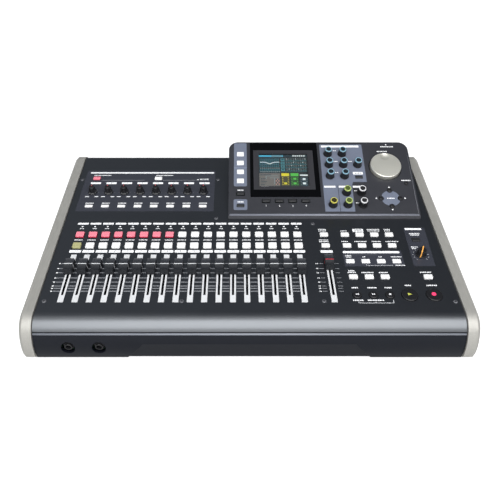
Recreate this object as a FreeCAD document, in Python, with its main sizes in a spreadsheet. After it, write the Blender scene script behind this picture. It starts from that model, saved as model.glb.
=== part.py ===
import FreeCAD, Part
import Sketcher
import math
import os
from FreeCAD import Placement, Rotation, Vector

# Digital multitrack recorder, a sloping desk-top case with a raised display console.
# Lengths are millimetres, angles degrees. X runs across the case to the right, Y to the
# rear and Z up. The origin is on the ground under the middle of the case.

document = FreeCAD.newDocument("multitrack_recorder")
sheet = document.addObject("Spreadsheet::Sheet", "sizes")

# Driving sizes of the case
CASE = {
    "case_width": 514.0,
    "case_depth": 340.0,
    "foot_height": 3.3,
    "foot_radius": 9.0,
    "foot_inset_x": 38.0,
    "foot_inset_y": 40.0,
    "seam_height": 38.2,
    "panel_tilt": 3.7,
    "panel_length": 295.4,
    "panel_wall": 2.5,
    "fold_radius": 25.0,
    "fold_angle": 57.0,
    "front_radius": 50.0,
    "front_wall": 3.5,
    "front_flange": 14.0,
    "seam_gap": 0.4,
    "recess_depth": 1.9,
    "recess_foot": 277.0,
    "recess_head": 241.0,
    "rear_bend": 6.0,
    "rear_lip": 8.0,
    "sheet_wall": 1.2,
    "side_flange": 26.0,
    "cheek_width": 14.5,
    "cheek_proud": 2.2,
    "cheek_edge": 3.5,
    "cheek_corner": 6.0,
    "cheek_shoulder": 20.0,
    "fit_gap": 0.3,
}

# Driving sizes of the raised console, whose places count from its front lip
CONSOLE = {
    "console_centre": 102.3,
    "console_width": 256.2,
    "console_length": 127.6,
    "console_tilt": 18.7,
    "console_foot": 137.8,
    "console_wall": 2.2,
    "console_corner": 13.0,
    "lip_rise": 4.0,
    "lip_set_back": 2.0,
    "window_centre": 52.2,
    "window_row": 79.0,
    "window_width": 95.6,
    "window_length": 94.6,
    "window_wall": 1.2,
    "screen_centre": 50.7,
    "screen_row": 78.0,
    "module_width": 84.6,
    "module_length": 70.0,
    "screen_margin": 3.0,
    "jog_centre": 193.4,
    "jog_row": 81.4,
    "jog_radius": 21.5,
    "jog_height": 6.6,
    "jog_well": 1.0,
    "dimple_reach": 14.3,
    "dimple_radius": 5.4,
    "encoder_column": 114.9,
    "encoder_pitch": 20.1,
    "encoder_row": 105.5,
    "encoder_step": 19.75,
    "level_row": 17.6,
    "encoder_radius": 5.8,
    "encoder_height": 11.5,
    "cursor_centre": 194.2,
    "cursor_row": 28.4,
    "cursor_reach": 13.1,
    "cursor_radius": 3.1,
    "side_key_column": -9.5,
    "side_key_row": 57.4,
    "side_key_step": 15.8,
    "side_key_length": 8.4,
    "soft_key_column": 25.1,
    "soft_key_pitch": 17.9,
    "soft_key_row": 24.1,
    "slim_key_length": 6.0,
    "undo_row": 36.0,
    "home_row": 15.8,
    "equaliser_row": 63.9,
    "jog_key_column": 219.2,
    "jog_key_row": 53.3,
    "jog_key_radius": 2.5,
}

# Driving sizes of the controls on the sloping panel, whose places count from its rear edge
PANEL = {
    "channel_count": 18,
    "channel_start": -216.7,
    "channel_pitch": 16.5,
    "fader_travel": 45.0,
    "fader_middle": 243.0,
    "fader_rest": 228.5,
    "master_column": 98.0,
    "master_rest": 221.0,
    "cap_width": 10.6,
    "cap_length": 20.0,
    "cap_height": 8.6,
    "cap_lift": 0.8,
    "cap_ridge": 2.0,
    "cap_dip": 1.0,
    "stem_width": 1.8,
    "stem_length": 5.0,
    "stem_reach": 6.6,
    "slot_gap": 0.4,
    "slide_body_width": 9.0,
    "slide_body_length": 62.0,
    "board_depth": 10.0,
    "board_wall": 1.6,
    "key_rise": 1.5,
    "key_travel": 0.5,
    "key_float": 0.2,
    "key_bevel": 0.5,
    "key_slope": -45.0,
    "key_gap": 0.3,
    "channel_key_width": 11.2,
    "channel_key_length": 10.4,
    "arm_row": 168.3,
    "select_row": 188.3,
    "menu_key_width": 11.0,
    "menu_key_length": 7.4,
    "menu_start": 125.0,
    "menu_pitch": 19.0,
    "menu_third_row": 216.3,
    "menu_fourth_row": 241.8,
    "input_start": -216.6,
    "input_count": 8,
    "input_pitch": 22.2,
    "trim_row": 82.0,
    "trim_radius": 5.75,
    "trim_height": 11.5,
    "source_row": 112.0,
    "source_length": 5.4,
    "power_row": 50.2,
    "power_length": 7.6,
    "transport_row": 270.0,
    "small_round_radius": 5.3,
    "large_round_radius": 9.4,
    "play_column": 186.0,
    "record_column": 214.4,
    "phones_row": 205.0,
    "phones_radius": 6.5,
    "phones_height": 10.5,
    "monitor_row": 178.4,
    "shaft_radius": 3.0,
    "shaft_clearance": 0.5,
    "knob_lift": 0.5,
    "pot_body": 10.0,
    "pot_height": 6.5,
    "boss_width": 6.0,
}

# Driving sizes of the sockets
SOCKETS = {
    "plug_bore": 3.275,
    "plug_depth": 28.0,
    "socket_height": 33.0,
    "bush_radius": 4.5,
    "bush_reach": 4.0,
    "nut_radius": 6.0,
    "nut_wall": 2.0,
    "jack_width": 16.0,
    "jack_depth": 30.0,
    "combo_start": -222.0,
    "combo_pitch": 29.0,
    "combo_count": 8,
    "combo_width": 22.0,
    "combo_height": 26.0,
    "flange_height": 30.0,
    "flange_wall": 1.5,
    "line_start": 16.0,
    "line_pitch": 24.0,
    "line_count": 3,
    "front_jack_start": -204.0,
    "front_jack_pitch": 34.7,
    "front_jack_height": 19.2,
    "front_jack_opening": 7.9,
    "front_jack_set_back": 7.3,
    "pair_count": 2,
    "phono_case": 11.0,
    "ring_case": 19.6,
    "phono_pitch": 14.5,
    "phono_radius": 4.2,
    "phono_bore": 1.65,
    "phono_reach": 9.0,
    "ring_pitch": 21.0,
    "ring_radius": 8.8,
    "ring_bore": 7.6,
    "ring_core": 5.9,
    "ring_depth": 8.0,
    "data_width": 8.4,
    "data_height": 7.7,
    "supply_centre": 225.0,
    "supply_radius": 5.0,
    "supply_bore": 2.9,
    "supply_pin": 1.0,
    "switch_centre": 203.5,
    "switch_radius": 4.2,
    "switch_reach": 4.5,
    "switch_travel": 2.5,
    "main_board_height": 12.0,
}

ALL_SIZES = {**CASE, **CONSOLE, **PANEL, **SOCKETS}
for row, (alias, value) in enumerate(ALL_SIZES.items(), start=1):
    sheet.set(f"A{row}", alias.replace("_", " "))
    sheet.set(f"B{row}", str(value))
    sheet.setAlias(f"B{row}", alias)
document.recompute()


def size(name):
    return float(sheet.get(name))


# Worked-out places, kept in the sheet beside the driving sizes
DERIVED = {
    "panel_cos": "=cos(panel_tilt * 1deg)",
    "panel_sin": "=sin(panel_tilt * 1deg)",
    "console_cos": "=cos(console_tilt * 1deg)",
    "console_sin": "=sin(console_tilt * 1deg)",
    "fold_cos": "=cos(fold_angle * 1deg)",
    "fold_sin": "=sin(fold_angle * 1deg)",
    "inner_width": "=case_width - 2 * cheek_width",
    "span": "=inner_width - 2 * fit_gap",
    "front_face": "=cheek_proud - case_depth / 2",
    "bend_y": "=front_face + front_radius * (1 - fold_sin) + fold_radius * fold_sin",
    "bend_z": "=seam_height - fold_radius * fold_cos",
    "fold_y": "=bend_y - fold_radius * panel_sin",
    "fold_z": "=bend_z + fold_radius * panel_cos",
    "rear_edge_y": "=fold_y + panel_length * panel_cos",
    "rear_edge_z": "=fold_z + panel_length * panel_sin",
    "wall_y": "=rear_edge_y + rear_bend * (1 + panel_sin) - panel_wall - fit_gap",
    "wall_inside": "=wall_y - sheet_wall",
    "tray_top": "=foot_height + sheet_wall",
    "phono_start": "=line_start + (line_count - 0.5) * line_pitch + phono_pitch / 2",
    "ring_start": "=phono_start + (pair_count - 0.5) * phono_pitch + ring_pitch / 2",
    "data_centre": "=ring_start + pair_count * ring_pitch",
    "window_height": "=combo_height + 2 * fit_gap",
    "combo_run": "=(combo_count - 1) * combo_pitch",
    "small_low": "=line_start - jack_width / 2 - fit_gap",
    "small_high": "=data_centre + data_width / 2 + 1 + fit_gap",
    "lip_y": "=rear_edge_y - console_foot * panel_cos + lip_set_back",
    "lip_z": "=rear_edge_z - console_foot * panel_sin + lip_rise",
    "slot_width": "=stem_width + 2 * slot_gap",
    "slot_length": "=fader_travel + stem_length + 2 * slot_gap",
    "key_depth": "=board_depth - key_travel - key_float",
    "body_depth": "=board_depth - pot_height",
    "shaft_depth": "=board_depth - pot_height - fit_gap",
}
for row, (alias, formula) in enumerate(DERIVED.items(), start=len(ALL_SIZES) + 1):
    sheet.set(f"A{row}", alias.replace("_", " "))
    sheet.set(f"B{row}", formula)
    sheet.setAlias(f"B{row}", alias)
    document.recompute()


def evaluate(expression):
    result = sheet.evalExpression(expression)
    return float(getattr(result, "Value", result))


# Helpers for bodies and sketches

def new_body(label):
    body = document.addObject("PartDesign::Body", label)
    body.Label = label
    return body


def origin_feature(body, role):
    return next(item for item in body.Origin.OriginFeatures if item.Role == role)


def new_sketch(body, name, role="XY_Plane", lift="0"):
    sketch = body.newObject("Sketcher::SketchObject", name)
    sketch.AttachmentSupport = (origin_feature(body, role), [""])
    sketch.MapMode = "FlatFace"
    sketch.setExpression(".AttachmentOffset.Base.z", lift)
    return sketch


def locate(axis_constraints, bound, geometry, point, x, y):
    """Ties one point of a sketch to two expressions, measured from the sketch's origin."""
    for kind, axis, expression in (("DistanceX", -2, x), ("DistanceY", -1, y)):
        value = evaluate(expression)
        if abs(value) < 1e-9:
            rule = Sketcher.Constraint("PointOnObject", geometry, point, axis)
        else:
            rule = Sketcher.Constraint(kind, -1, 1, geometry, point, value)
            bound[len(axis_constraints)] = expression
        axis_constraints.append(rule)


def add_rules(sketch, rules, bound):
    first = sketch.ConstraintCount
    sketch.addConstraint(rules)
    for index, expression in bound.items():
        sketch.setExpression(f"Constraints[{first + index}]", expression)


def draw_polygons(sketch, outlines):
    """Adds closed outlines, each a list of corners given as pairs of expressions."""
    lines = []
    rules = []
    bound = {}
    for corners in outlines:
        first = sketch.GeometryCount + len(lines)
        count = len(corners)
        points = [Vector(evaluate(x), evaluate(y), 0) for x, y in corners]
        for index, (x, y) in enumerate(corners):
            following = (index + 1) % count
            lines.append(Part.LineSegment(points[index], points[following]))
            rules.append(Sketcher.Constraint("Coincident", first + index, 2,
                                             first + following, 1))
            locate(rules, bound, first + index, 1, x, y)
    sketch.addGeometry(lines, False)
    add_rules(sketch, rules, bound)


def draw_polygon(sketch, corners):
    draw_polygons(sketch, [corners])


def draw_rectangles(sketch, centres, width, length):
    outlines = []
    for x, y in centres:
        left = f"({x}) - ({width}) / 2"
        right = f"({x}) + ({width}) / 2"
        low = f"({y}) - ({length}) / 2"
        high = f"({y}) + ({length}) / 2"
        outlines.append([(left, low), (right, low), (right, high), (left, high)])
    draw_polygons(sketch, outlines)


def draw_circles(sketch, centres, radius):
    for x, y in centres:
        centre = Vector(evaluate(x), evaluate(y), 0)
        index = sketch.GeometryCount
        sketch.addGeometry(Part.Circle(centre, Vector(0, 0, 1), evaluate(radius)), False)
        rules = [Sketcher.Constraint("Radius", index, evaluate(radius))]
        bound = {0: radius}
        locate(rules, bound, index, 3, x, y)
        add_rules(sketch, rules, bound)


def draw_rings(sketch, centres, radius, sides):
    """Adds regular outlines with flat sides, whose corners lie on a circle."""
    turns = [(index + 0.5) * 2 * math.pi / sides for index in range(sides)]
    draw_polygons(sketch, [[(f"({x}) + ({radius}) * {math.cos(turn):.6f}",
                             f"({y}) + ({radius}) * {math.sin(turn):.6f}")
                            for turn in turns] for x, y in centres])


def clear_of(radius, gap, sides):
    """Corner radius of a flat-sided hole that leaves a gap all round a shaft."""
    return f"(({radius}) + ({gap})) / {math.cos(math.pi / sides):.6f}"


def draw_line(sketch, start, end):
    sketch.addGeometry(Part.LineSegment(Vector(*start, 0), Vector(*end, 0)), False)


def around(centre, radius, angle):
    """A point on a circle, at an angle in degrees from straight up towards the front."""
    turn = math.radians(angle)
    return (centre[0] - radius * math.sin(turn), centre[1] + radius * math.cos(turn))


def draw_arc(sketch, centre, radius, start, end):
    points = [around(centre, radius, angle) for angle in (start, (start + end) / 2, end)]
    sketch.addGeometry(Part.Arc(*[Vector(*point, 0) for point in points]), False)


def pad(body, sketch, length, name="pad", symmetric=False, reverse=False):
    feature = body.newObject("PartDesign::Pad", name)
    feature.Profile = sketch
    feature.setExpression("Length", length)
    feature.SideType = "Symmetric" if symmetric else "One side"
    feature.Reversed = reverse
    return feature


def pocket(body, sketch, length, name="pocket", symmetric=False, reverse=False):
    feature = body.newObject("PartDesign::Pocket", name)
    feature.Profile = sketch
    feature.setExpression("Length", length)
    feature.SideType = "Symmetric" if symmetric else "One side"
    feature.Reversed = reverse
    return feature


def repeat(body, features, count, pitch, name="row"):
    pattern = body.newObject("PartDesign::LinearPattern", name)
    pattern.Originals = features
    pattern.Direction = (origin_feature(body, "X_Axis"), [""])
    pattern.Mode = "Spacing"
    pattern.setExpression("Occurrences", count)
    pattern.setExpression("Offset", pitch)
    body.Tip = pattern
    return pattern


def revolve(body, sketch, name="turned"):
    feature = body.newObject("PartDesign::Revolution", name)
    feature.Profile = sketch
    feature.ReferenceAxis = (sketch, ["V_Axis"])
    feature.Angle = 360
    return feature


def round_edges(body, feature, names, radius, name="rounding"):
    fillet = body.newObject("PartDesign::Fillet", name)
    fillet.Base = (feature, names)
    fillet.setExpression("Radius", radius)
    return fillet


def edges_where(feature, test, upright=False):
    """Names of the edges of a feature whose points all pass a test."""
    document.recompute([feature])
    names = []
    for number, edge in enumerate(feature.Shape.Edges, start=1):
        points = [vertex.Point for vertex in edge.Vertexes]
        if upright and not close(points[0].x, points[-1].x):
            continue
        if all(test(point) for point in points):
            names.append(f"Edge{number}")
    return names


def in_groups(items, count):
    return [items[start:start + count] for start in range(0, len(items), count)]


def close(first, second):
    return abs(first - second) < 0.01


def tilt(feature, angle):
    feature.Placement = Placement(Vector(), Rotation(Vector(1, 0, 0), 1))
    feature.setExpression("Placement.Rotation.Angle", f"sizes.{angle} * 1deg")


def seat_on_panel(feature, x="0", reach="0"):
    """Puts a feature on the sloping panel, reach millimetres in front of its rear edge."""
    tilt(feature, "panel_tilt")
    feature.setExpression("Placement.Base.x", x)
    feature.setExpression("Placement.Base.y", f"sizes.rear_edge_y - ({reach}) * sizes.panel_cos")
    feature.setExpression("Placement.Base.z", f"sizes.rear_edge_z - ({reach}) * sizes.panel_sin")


def seat_on_console(feature, x="0", reach="0"):
    """Puts a feature on the console's face, reach millimetres behind its front lip."""
    tilt(feature, "console_tilt")
    feature.setExpression("Placement.Base.x", x)
    feature.setExpression("Placement.Base.y", f"sizes.lip_y + ({reach}) * sizes.console_cos")
    feature.setExpression("Placement.Base.z", f"sizes.lip_z + ({reach}) * sizes.console_sin")


def on_panel(y, z):
    """A point of the side view, seen from the panel's rear edge along its slope."""
    angle = math.radians(size("panel_tilt"))
    back = y - size("rear_edge_y")
    up = z - size("rear_edge_z")
    return (back * math.cos(angle) + up * math.sin(angle),
            up * math.cos(angle) - back * math.sin(angle))


def on_console(y, z):
    """A point of the side view, seen from the console's front lip along its slope."""
    angle = math.radians(size("console_tilt"))
    back = y - size("lip_y")
    up = z - size("lip_z")
    return (back * math.cos(angle) + up * math.sin(angle),
            up * math.cos(angle) - back * math.sin(angle))


# Places of the controls, as pairs of expressions

def column(start, pitch, index):
    return f"{start} + {index} * {pitch}"


MENU_COLUMNS = [column("sizes.menu_start", "sizes.menu_pitch", index) for index in range(4)]
RECORD_COLUMN = "sizes.record_column"
ENCODER_COLUMNS = [column("sizes.encoder_column", "sizes.encoder_pitch", i) for i in range(3)]
ENCODER_ROWS = [f"sizes.encoder_row - {index} * sizes.encoder_step" for index in range(3)]
LEVEL_ROWS = [f"sizes.level_row + {index} * sizes.encoder_step" for index in range(2)]

ENCODERS = {
    "encoder_high_gain": (ENCODER_COLUMNS[0], ENCODER_ROWS[0]),
    "encoder_high_tone": (ENCODER_COLUMNS[1], ENCODER_ROWS[0]),
    "encoder_mid_gain": (ENCODER_COLUMNS[0], ENCODER_ROWS[1]),
    "encoder_mid_tone": (ENCODER_COLUMNS[1], ENCODER_ROWS[1]),
    "encoder_mid_width": (ENCODER_COLUMNS[2], ENCODER_ROWS[1]),
    "encoder_low_gain": (ENCODER_COLUMNS[0], ENCODER_ROWS[2]),
    "encoder_low_tone": (ENCODER_COLUMNS[1], ENCODER_ROWS[2]),
    "encoder_pan": (ENCODER_COLUMNS[0], LEVEL_ROWS[0]),
    "encoder_effect": (ENCODER_COLUMNS[1], LEVEL_ROWS[0]),
    "encoder_level": (ENCODER_COLUMNS[1], LEVEL_ROWS[1]),
    "encoder_send_one": (ENCODER_COLUMNS[2], LEVEL_ROWS[1]),
    "encoder_send_two": (ENCODER_COLUMNS[2], LEVEL_ROWS[0]),
}

MENU_KEYS = [("sizes.master_column", "-sizes.arm_row"), ("sizes.master_column", "-sizes.select_row")]
MENU_KEYS += [(place, "-sizes.arm_row") for place in MENU_COLUMNS]
MENU_KEYS += [(place, "-sizes.select_row") for place in MENU_COLUMNS]
MENU_KEYS += [(place, "-sizes.menu_third_row") for place in MENU_COLUMNS]
MENU_KEYS += [(place, "-sizes.menu_fourth_row") for place in MENU_COLUMNS[:3]]
MENU_KEYS += [(RECORD_COLUMN, "-sizes.menu_fourth_row"), (RECORD_COLUMN, "-sizes.monitor_row")]

POWER_KEYS = [(column("sizes.input_start", "sizes.input_pitch", index), "-sizes.power_row")
              for index in (0, 4)]

SMALL_TRANSPORT = [(place, "-sizes.transport_row") for place in MENU_COLUMNS[:3]]
LARGE_TRANSPORT = [("sizes.play_column", "-sizes.transport_row"),
                   (RECORD_COLUMN, "-sizes.transport_row")]

BOSSES = [("-235", "-279.2"), ("-77.5", "-279.2"), ("85.8", "-279.2"), ("236", "-279.2"),
          ("-42", "-136.3"), ("85.6", "-148"), ("-237", "-52.7"), ("-42", "-52.7")]

SIDE_KEYS = [("sizes.side_key_column", f"sizes.side_key_row + {index} * sizes.side_key_step")
             for index in range(4)]
SLIM_KEYS = [(column("sizes.soft_key_column", "sizes.soft_key_pitch", index), "sizes.soft_key_row")
             for index in range(4)]
SLIM_KEYS += [("sizes.side_key_column", "sizes.undo_row"),
              ("sizes.side_key_column", "sizes.home_row"),
              (ENCODER_COLUMNS[2], "sizes.equaliser_row")]
CURSOR_KEYS = [("sizes.cursor_centre - sizes.cursor_reach", "sizes.cursor_row"),
               ("sizes.cursor_centre + sizes.cursor_reach", "sizes.cursor_row"),
               ("sizes.cursor_centre", "sizes.cursor_row - sizes.cursor_reach"),
               ("sizes.cursor_centre", "sizes.cursor_row + sizes.cursor_reach")]
JOG_KEY = [("sizes.jog_key_column", "sizes.jog_key_row")]


# Top panel: one sheet with a bend at the rear and a rounded nose, seen along its slope

def make_top_panel():
    body = new_body("top_panel")
    wall = size("panel_wall")
    slope = size("panel_tilt")
    bend = (0.0, -size("rear_bend"))
    nose = (-size("panel_length"), -size("fold_radius"))
    turn = size("fold_angle") - slope
    bend_radius = size("rear_bend")
    nose_radius = size("fold_radius")
    rear_out = around(bend, bend_radius, -90 - slope)
    rear_in = around(bend, bend_radius - wall, -90 - slope)
    down = around((0.0, 0.0), size("rear_lip"), 180 - slope)
    lip_out = (rear_out[0] + down[0], rear_out[1] + down[1])
    lip_in = (rear_in[0] + down[0], rear_in[1] + down[1])

    side = new_sketch(body, "side_view", "YZ_Plane")
    draw_line(side, lip_out, rear_out)
    draw_arc(side, bend, bend_radius, -90 - slope, 0)
    draw_line(side, (0, 0), (nose[0], 0))
    draw_arc(side, nose, nose_radius, 0, turn)
    draw_line(side, around(nose, nose_radius, turn), around(nose, nose_radius - wall, turn))
    draw_arc(side, nose, nose_radius - wall, turn, 0)
    draw_line(side, (nose[0], -wall), (0, -wall))
    draw_arc(side, bend, bend_radius - wall, 0, -90 - slope)
    draw_line(side, rear_in, lip_in)
    draw_line(side, lip_in, lip_out)
    pad(body, side, "sizes.span", "sheet", symmetric=True)

    # Bosses that carry the key board, at the panel's screws
    bosses = new_sketch(body, "boss_plan", lift="-sizes.panel_wall")
    draw_rectangles(bosses, BOSSES, "sizes.boss_width", "sizes.boss_width")
    pad(body, bosses, "sizes.board_depth - sizes.panel_wall", "bosses", reverse=True)

    # Fader slots and the two keys of each channel
    through = "2 * sizes.panel_wall + 1"
    key_gap = "2 * sizes.key_gap"
    slots = new_sketch(body, "slot_plan")
    draw_rectangles(slots, [("sizes.channel_start", "-sizes.fader_middle")],
                    "sizes.slot_width", "sizes.slot_length")
    slot = pocket(body, slots, through, "channel_slot", symmetric=True)
    openings = new_sketch(body, "channel_key_plan")
    draw_rectangles(openings, [("sizes.channel_start", "-sizes.arm_row"),
                               ("sizes.channel_start", "-sizes.select_row")],
                    f"sizes.channel_key_width + {key_gap}",
                    f"sizes.channel_key_length + {key_gap}")
    windows = pocket(body, openings, through, "channel_keys", symmetric=True)
    repeat(body, [slot, windows], "sizes.channel_count", "sizes.channel_pitch", "channels")

    # Input section: gain knobs and source keys
    trims = new_sketch(body, "trim_plan")
    draw_rings(trims, [("sizes.input_start", "-sizes.trim_row")],
               clear_of("sizes.shaft_radius", "sizes.shaft_clearance", 4), 4)
    trim = pocket(body, trims, through, "trim_hole", symmetric=True)
    sources = new_sketch(body, "source_plan")
    draw_rectangles(sources, [("sizes.input_start", "-sizes.source_row")],
                    f"sizes.menu_key_width + {key_gap}", f"sizes.source_length + {key_gap}")
    source = pocket(body, sources, through, "source_key", symmetric=True)
    repeat(body, [trim, source], "sizes.input_count", "sizes.input_pitch", "inputs")

    # Single openings
    master = new_sketch(body, "master_plan")
    draw_rectangles(master, [("sizes.master_column", "-sizes.fader_middle")],
                    "sizes.slot_width", "sizes.slot_length")
    pocket(body, master, through, "master_slot", symmetric=True)
    for number, keys in enumerate(in_groups(MENU_KEYS, 7), start=1):
        menu = new_sketch(body, f"menu_plan_{number}")
        draw_rectangles(menu, keys, f"sizes.menu_key_width + {key_gap}",
                        f"sizes.menu_key_length + {key_gap}")
        pocket(body, menu, through, f"menu_keys_{number}", symmetric=True)
    power = new_sketch(body, "power_plan")
    draw_rectangles(power, POWER_KEYS, f"sizes.menu_key_width + {key_gap}",
                    f"sizes.power_length + {key_gap}")
    pocket(body, power, through, "power_keys", symmetric=True)
    for name, place, radius, sides in (
            [("small", place, "sizes.small_round_radius + sizes.key_gap", 16)
             for place in SMALL_TRANSPORT]
            + [("large", place, "sizes.large_round_radius + sizes.key_gap", 20)
               for place in LARGE_TRANSPORT]
            + [("phones", (RECORD_COLUMN, "-sizes.phones_row"),
                clear_of("sizes.shaft_radius", "sizes.shaft_clearance", 4), 4)]):
        round_hole = new_sketch(body, f"{name}_round_plan")
        draw_rings(round_hole, [place], radius, sides)
        pocket(body, round_hole, through, f"{name}_round", symmetric=True)

    # Opening under the console
    console = new_sketch(body, "console_plan")
    left = "sizes.console_centre - sizes.console_width / 2 + sizes.console_wall + 1"
    right = "sizes.console_centre + sizes.console_width / 2 - sizes.console_wall - 1"
    front = "-(sizes.console_foot - sizes.lip_set_back - 3 * sizes.console_wall)"
    rear = "-(sizes.console_foot - sizes.console_length * sizes.console_cos + 4)"
    draw_polygon(console, [(left, front), (right, front), (right, rear), (left, rear)])
    pocket(body, console, through, "console_opening", symmetric=True)
    seat_on_panel(body)
    return body


# Front panel: carries on round the nose and turns in under the case

def make_front_panel():
    body = new_body("front_panel")
    radius = size("front_radius")
    inner = radius - size("front_wall")
    centre = (size("front_face") + radius,
              size("seam_height") - radius * math.cos(math.radians(size("fold_angle"))))
    start = size("fold_angle") + math.degrees(size("seam_gap") / radius)
    floor = size("foot_height")
    flange_top = floor + size("panel_wall")
    end = math.degrees(math.acos((floor - centre[1]) / radius))
    inner_end = math.degrees(math.acos((flange_top - centre[1]) / inner))
    flange_rear = size("front_face") + size("front_flange")

    side = new_sketch(body, "side_view", "YZ_Plane")
    draw_arc(side, centre, radius, start, end)
    draw_line(side, around(centre, radius, end), (flange_rear, floor))
    draw_line(side, (flange_rear, floor), (flange_rear, flange_top))
    draw_line(side, (flange_rear, flange_top), around(centre, inner, inner_end))
    draw_arc(side, centre, inner, inner_end, start)
    draw_line(side, around(centre, inner, start), around(centre, radius, start))
    pad(body, side, "sizes.span", "moulding", symmetric=True)

    # Shallow tapered recess, cut back to a flat face
    recess = new_sketch(body, "recess_view", "XZ_Plane", "-(sizes.front_face + sizes.recess_depth)")
    top = "sizes.seam_height"
    slant = "(sizes.recess_foot - sizes.recess_head) / 2 / 20"
    wide = f"sizes.recess_foot / 2 + {slant} * 2"
    narrow = f"sizes.recess_head / 2 - {slant} * (sizes.seam_height - sizes.foot_height - 20)"
    draw_polygon(recess, [(f"-({wide})", "sizes.foot_height - 2"), (wide, "sizes.foot_height - 2"),
                          (narrow, top), (f"-({narrow})", top)])
    pocket(body, recess, "3 * sizes.recess_depth", "recess", reverse=True)

    # Openings in front of the two sockets
    holes = new_sketch(body, "socket_view", "XZ_Plane", "-sizes.front_face")
    draw_rings(holes, [(column("sizes.front_jack_start", "sizes.front_jack_pitch", index),
                        "sizes.front_jack_height") for index in range(2)],
               "sizes.front_jack_opening", 24)
    pocket(body, holes, "4 * sizes.front_wall", "socket_openings", symmetric=True)
    return body


# Cheeks: the end caps follow the case's outline and stand a little proud of it

def make_cheek(label, side):
    body = new_body(label)
    proud = size("cheek_proud")
    floor = size("foot_height")
    corner = size("cheek_corner")
    shoulder = size("cheek_shoulder")
    slope = size("panel_tilt")
    rear = size("case_depth") / 2
    nose = (size("bend_y"), size("bend_z"))
    nose_radius = size("fold_radius") + proud
    front_radius = size("front_radius") + proud
    front = (size("front_face") + size("front_radius"),
             size("seam_height") - size("front_radius") * size("fold_cos"))
    low_z = floor + corner
    low_y = front[0] - math.sqrt((front_radius - corner) ** 2 - (low_z - front[1]) ** 2)
    low_angle = math.degrees(math.atan2(front[0] - low_y, low_z - front[1]))
    top_start = around(nose, nose_radius, slope)
    shoulder_y = rear - shoulder
    tangent_y = shoulder_y - shoulder * size("panel_sin")
    tangent_z = top_start[1] + (tangent_y - top_start[0]) * size("panel_sin") / size("panel_cos")
    high = (shoulder_y, tangent_z - shoulder * size("panel_cos"))

    outline = new_sketch(body, "outline", "YZ_Plane",
                         f"{side} * (sizes.case_width / 2 - sizes.cheek_width)")
    draw_line(outline, top_start, (tangent_y, tangent_z))
    draw_arc(outline, high, shoulder, slope, -90)
    draw_line(outline, (rear, high[1]), (rear, low_z))
    draw_arc(outline, (rear - corner, low_z), corner, -90, -180)
    draw_line(outline, (rear - corner, floor), (low_y, floor))
    draw_arc(outline, (low_y, low_z), corner, 180, low_angle)
    draw_arc(outline, front, front_radius, low_angle, size("fold_angle"))
    draw_arc(outline, nose, nose_radius, size("fold_angle"), slope)
    block = pad(body, outline, "sizes.cheek_width", "block", reverse=side < 0)
    outside = side * size("case_width") / 2
    names = edges_where(block, lambda point: close(point.x, outside))
    bevel = body.newObject("PartDesign::Chamfer", "outer_edge")
    bevel.Base = (block, names)
    bevel.setExpression("Size", "sizes.cheek_edge")
    return body


# Tray: a floor sheet with side flanges and a rear wall that stands on it

def make_floor_sheet():
    body = new_body("floor_sheet")
    front = "sizes.front_face + sizes.front_flange + sizes.fit_gap"
    sheet_plan = new_sketch(body, "sheet_plan", lift="sizes.foot_height")
    middle = f"({front} + sizes.wall_y) / 2"
    draw_rectangles(sheet_plan, [("0", middle)], "sizes.span", f"sizes.wall_y - ({front})")
    pad(body, sheet_plan, "sizes.sheet_wall", "sheet")
    flanges = new_sketch(body, "flange_plan", lift="sizes.tray_top")
    middle = f"({front} + sizes.wall_inside) / 2"
    draw_rectangles(flanges, [("(sizes.sheet_wall - sizes.span) / 2", middle),
                              ("(sizes.span - sizes.sheet_wall) / 2", middle)],
                    "sizes.sheet_wall", f"sizes.wall_inside - ({front})")
    pad(body, flanges, "sizes.side_flange", "flanges")
    posts = new_sketch(body, "post_plan", lift="sizes.tray_top")
    draw_rectangles(posts, [("-200", "-45"), ("200", "-45"), ("-200", "135"), ("200", "135"),
                            ("0", "50")], "sizes.boss_width", "sizes.boss_width")
    pad(body, posts, "sizes.main_board_height - sizes.tray_top", "posts")
    front_posts = new_sketch(body, "front_post_plan", lift="sizes.tray_top")
    draw_rectangles(front_posts, [("sizes.front_jack_start + sizes.front_jack_pitch / 2",
                                   "sizes.front_face + 30")], "40", "sizes.boss_width")
    pad(body, front_posts, "sizes.front_jack_height - sizes.jack_width / 2"
        " - sizes.board_wall - sizes.tray_top", "front_posts")
    return body


def make_rear_wall():
    """The rear wall has two long openings, and the flanges of the sockets cover them."""
    body = new_body("rear_wall")
    height = "sizes.socket_height"
    plane = "-sizes.wall_y"
    head = "sizes.rear_edge_z - sizes.rear_bend - sizes.fit_gap"
    view = new_sketch(body, "wall_view", "XZ_Plane", plane)
    draw_rectangles(view, [("0", f"({head} + sizes.tray_top) / 2")], "sizes.span",
                    f"{head} - sizes.tray_top")
    pad(body, view, "sizes.sheet_wall", "wall")
    rows = new_sketch(body, "row_view", "XZ_Plane", plane)
    draw_rectangles(rows, [("sizes.combo_start + sizes.combo_run / 2", height)],
                    "sizes.combo_run + sizes.combo_width + 2 * sizes.fit_gap",
                    "sizes.window_height")
    draw_rectangles(rows, [("(sizes.small_low + sizes.small_high) / 2", height)],
                    "sizes.small_high - sizes.small_low", "sizes.window_height")
    draw_rings(rows, [("sizes.supply_centre", height)],
               "sizes.supply_radius + sizes.fit_gap", 16)
    draw_rings(rows, [("sizes.switch_centre", height)],
               "sizes.switch_radius + sizes.fit_gap", 20)
    pocket(body, rows, "4 * sizes.sheet_wall", "socket_rows", symmetric=True)
    return body


def make_chassis_tray():
    return gather("chassis_tray", [make_floor_sheet(), make_rear_wall()])


# Console housing: a wedge-shaped moulding open below, seen along its sloping face

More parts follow.
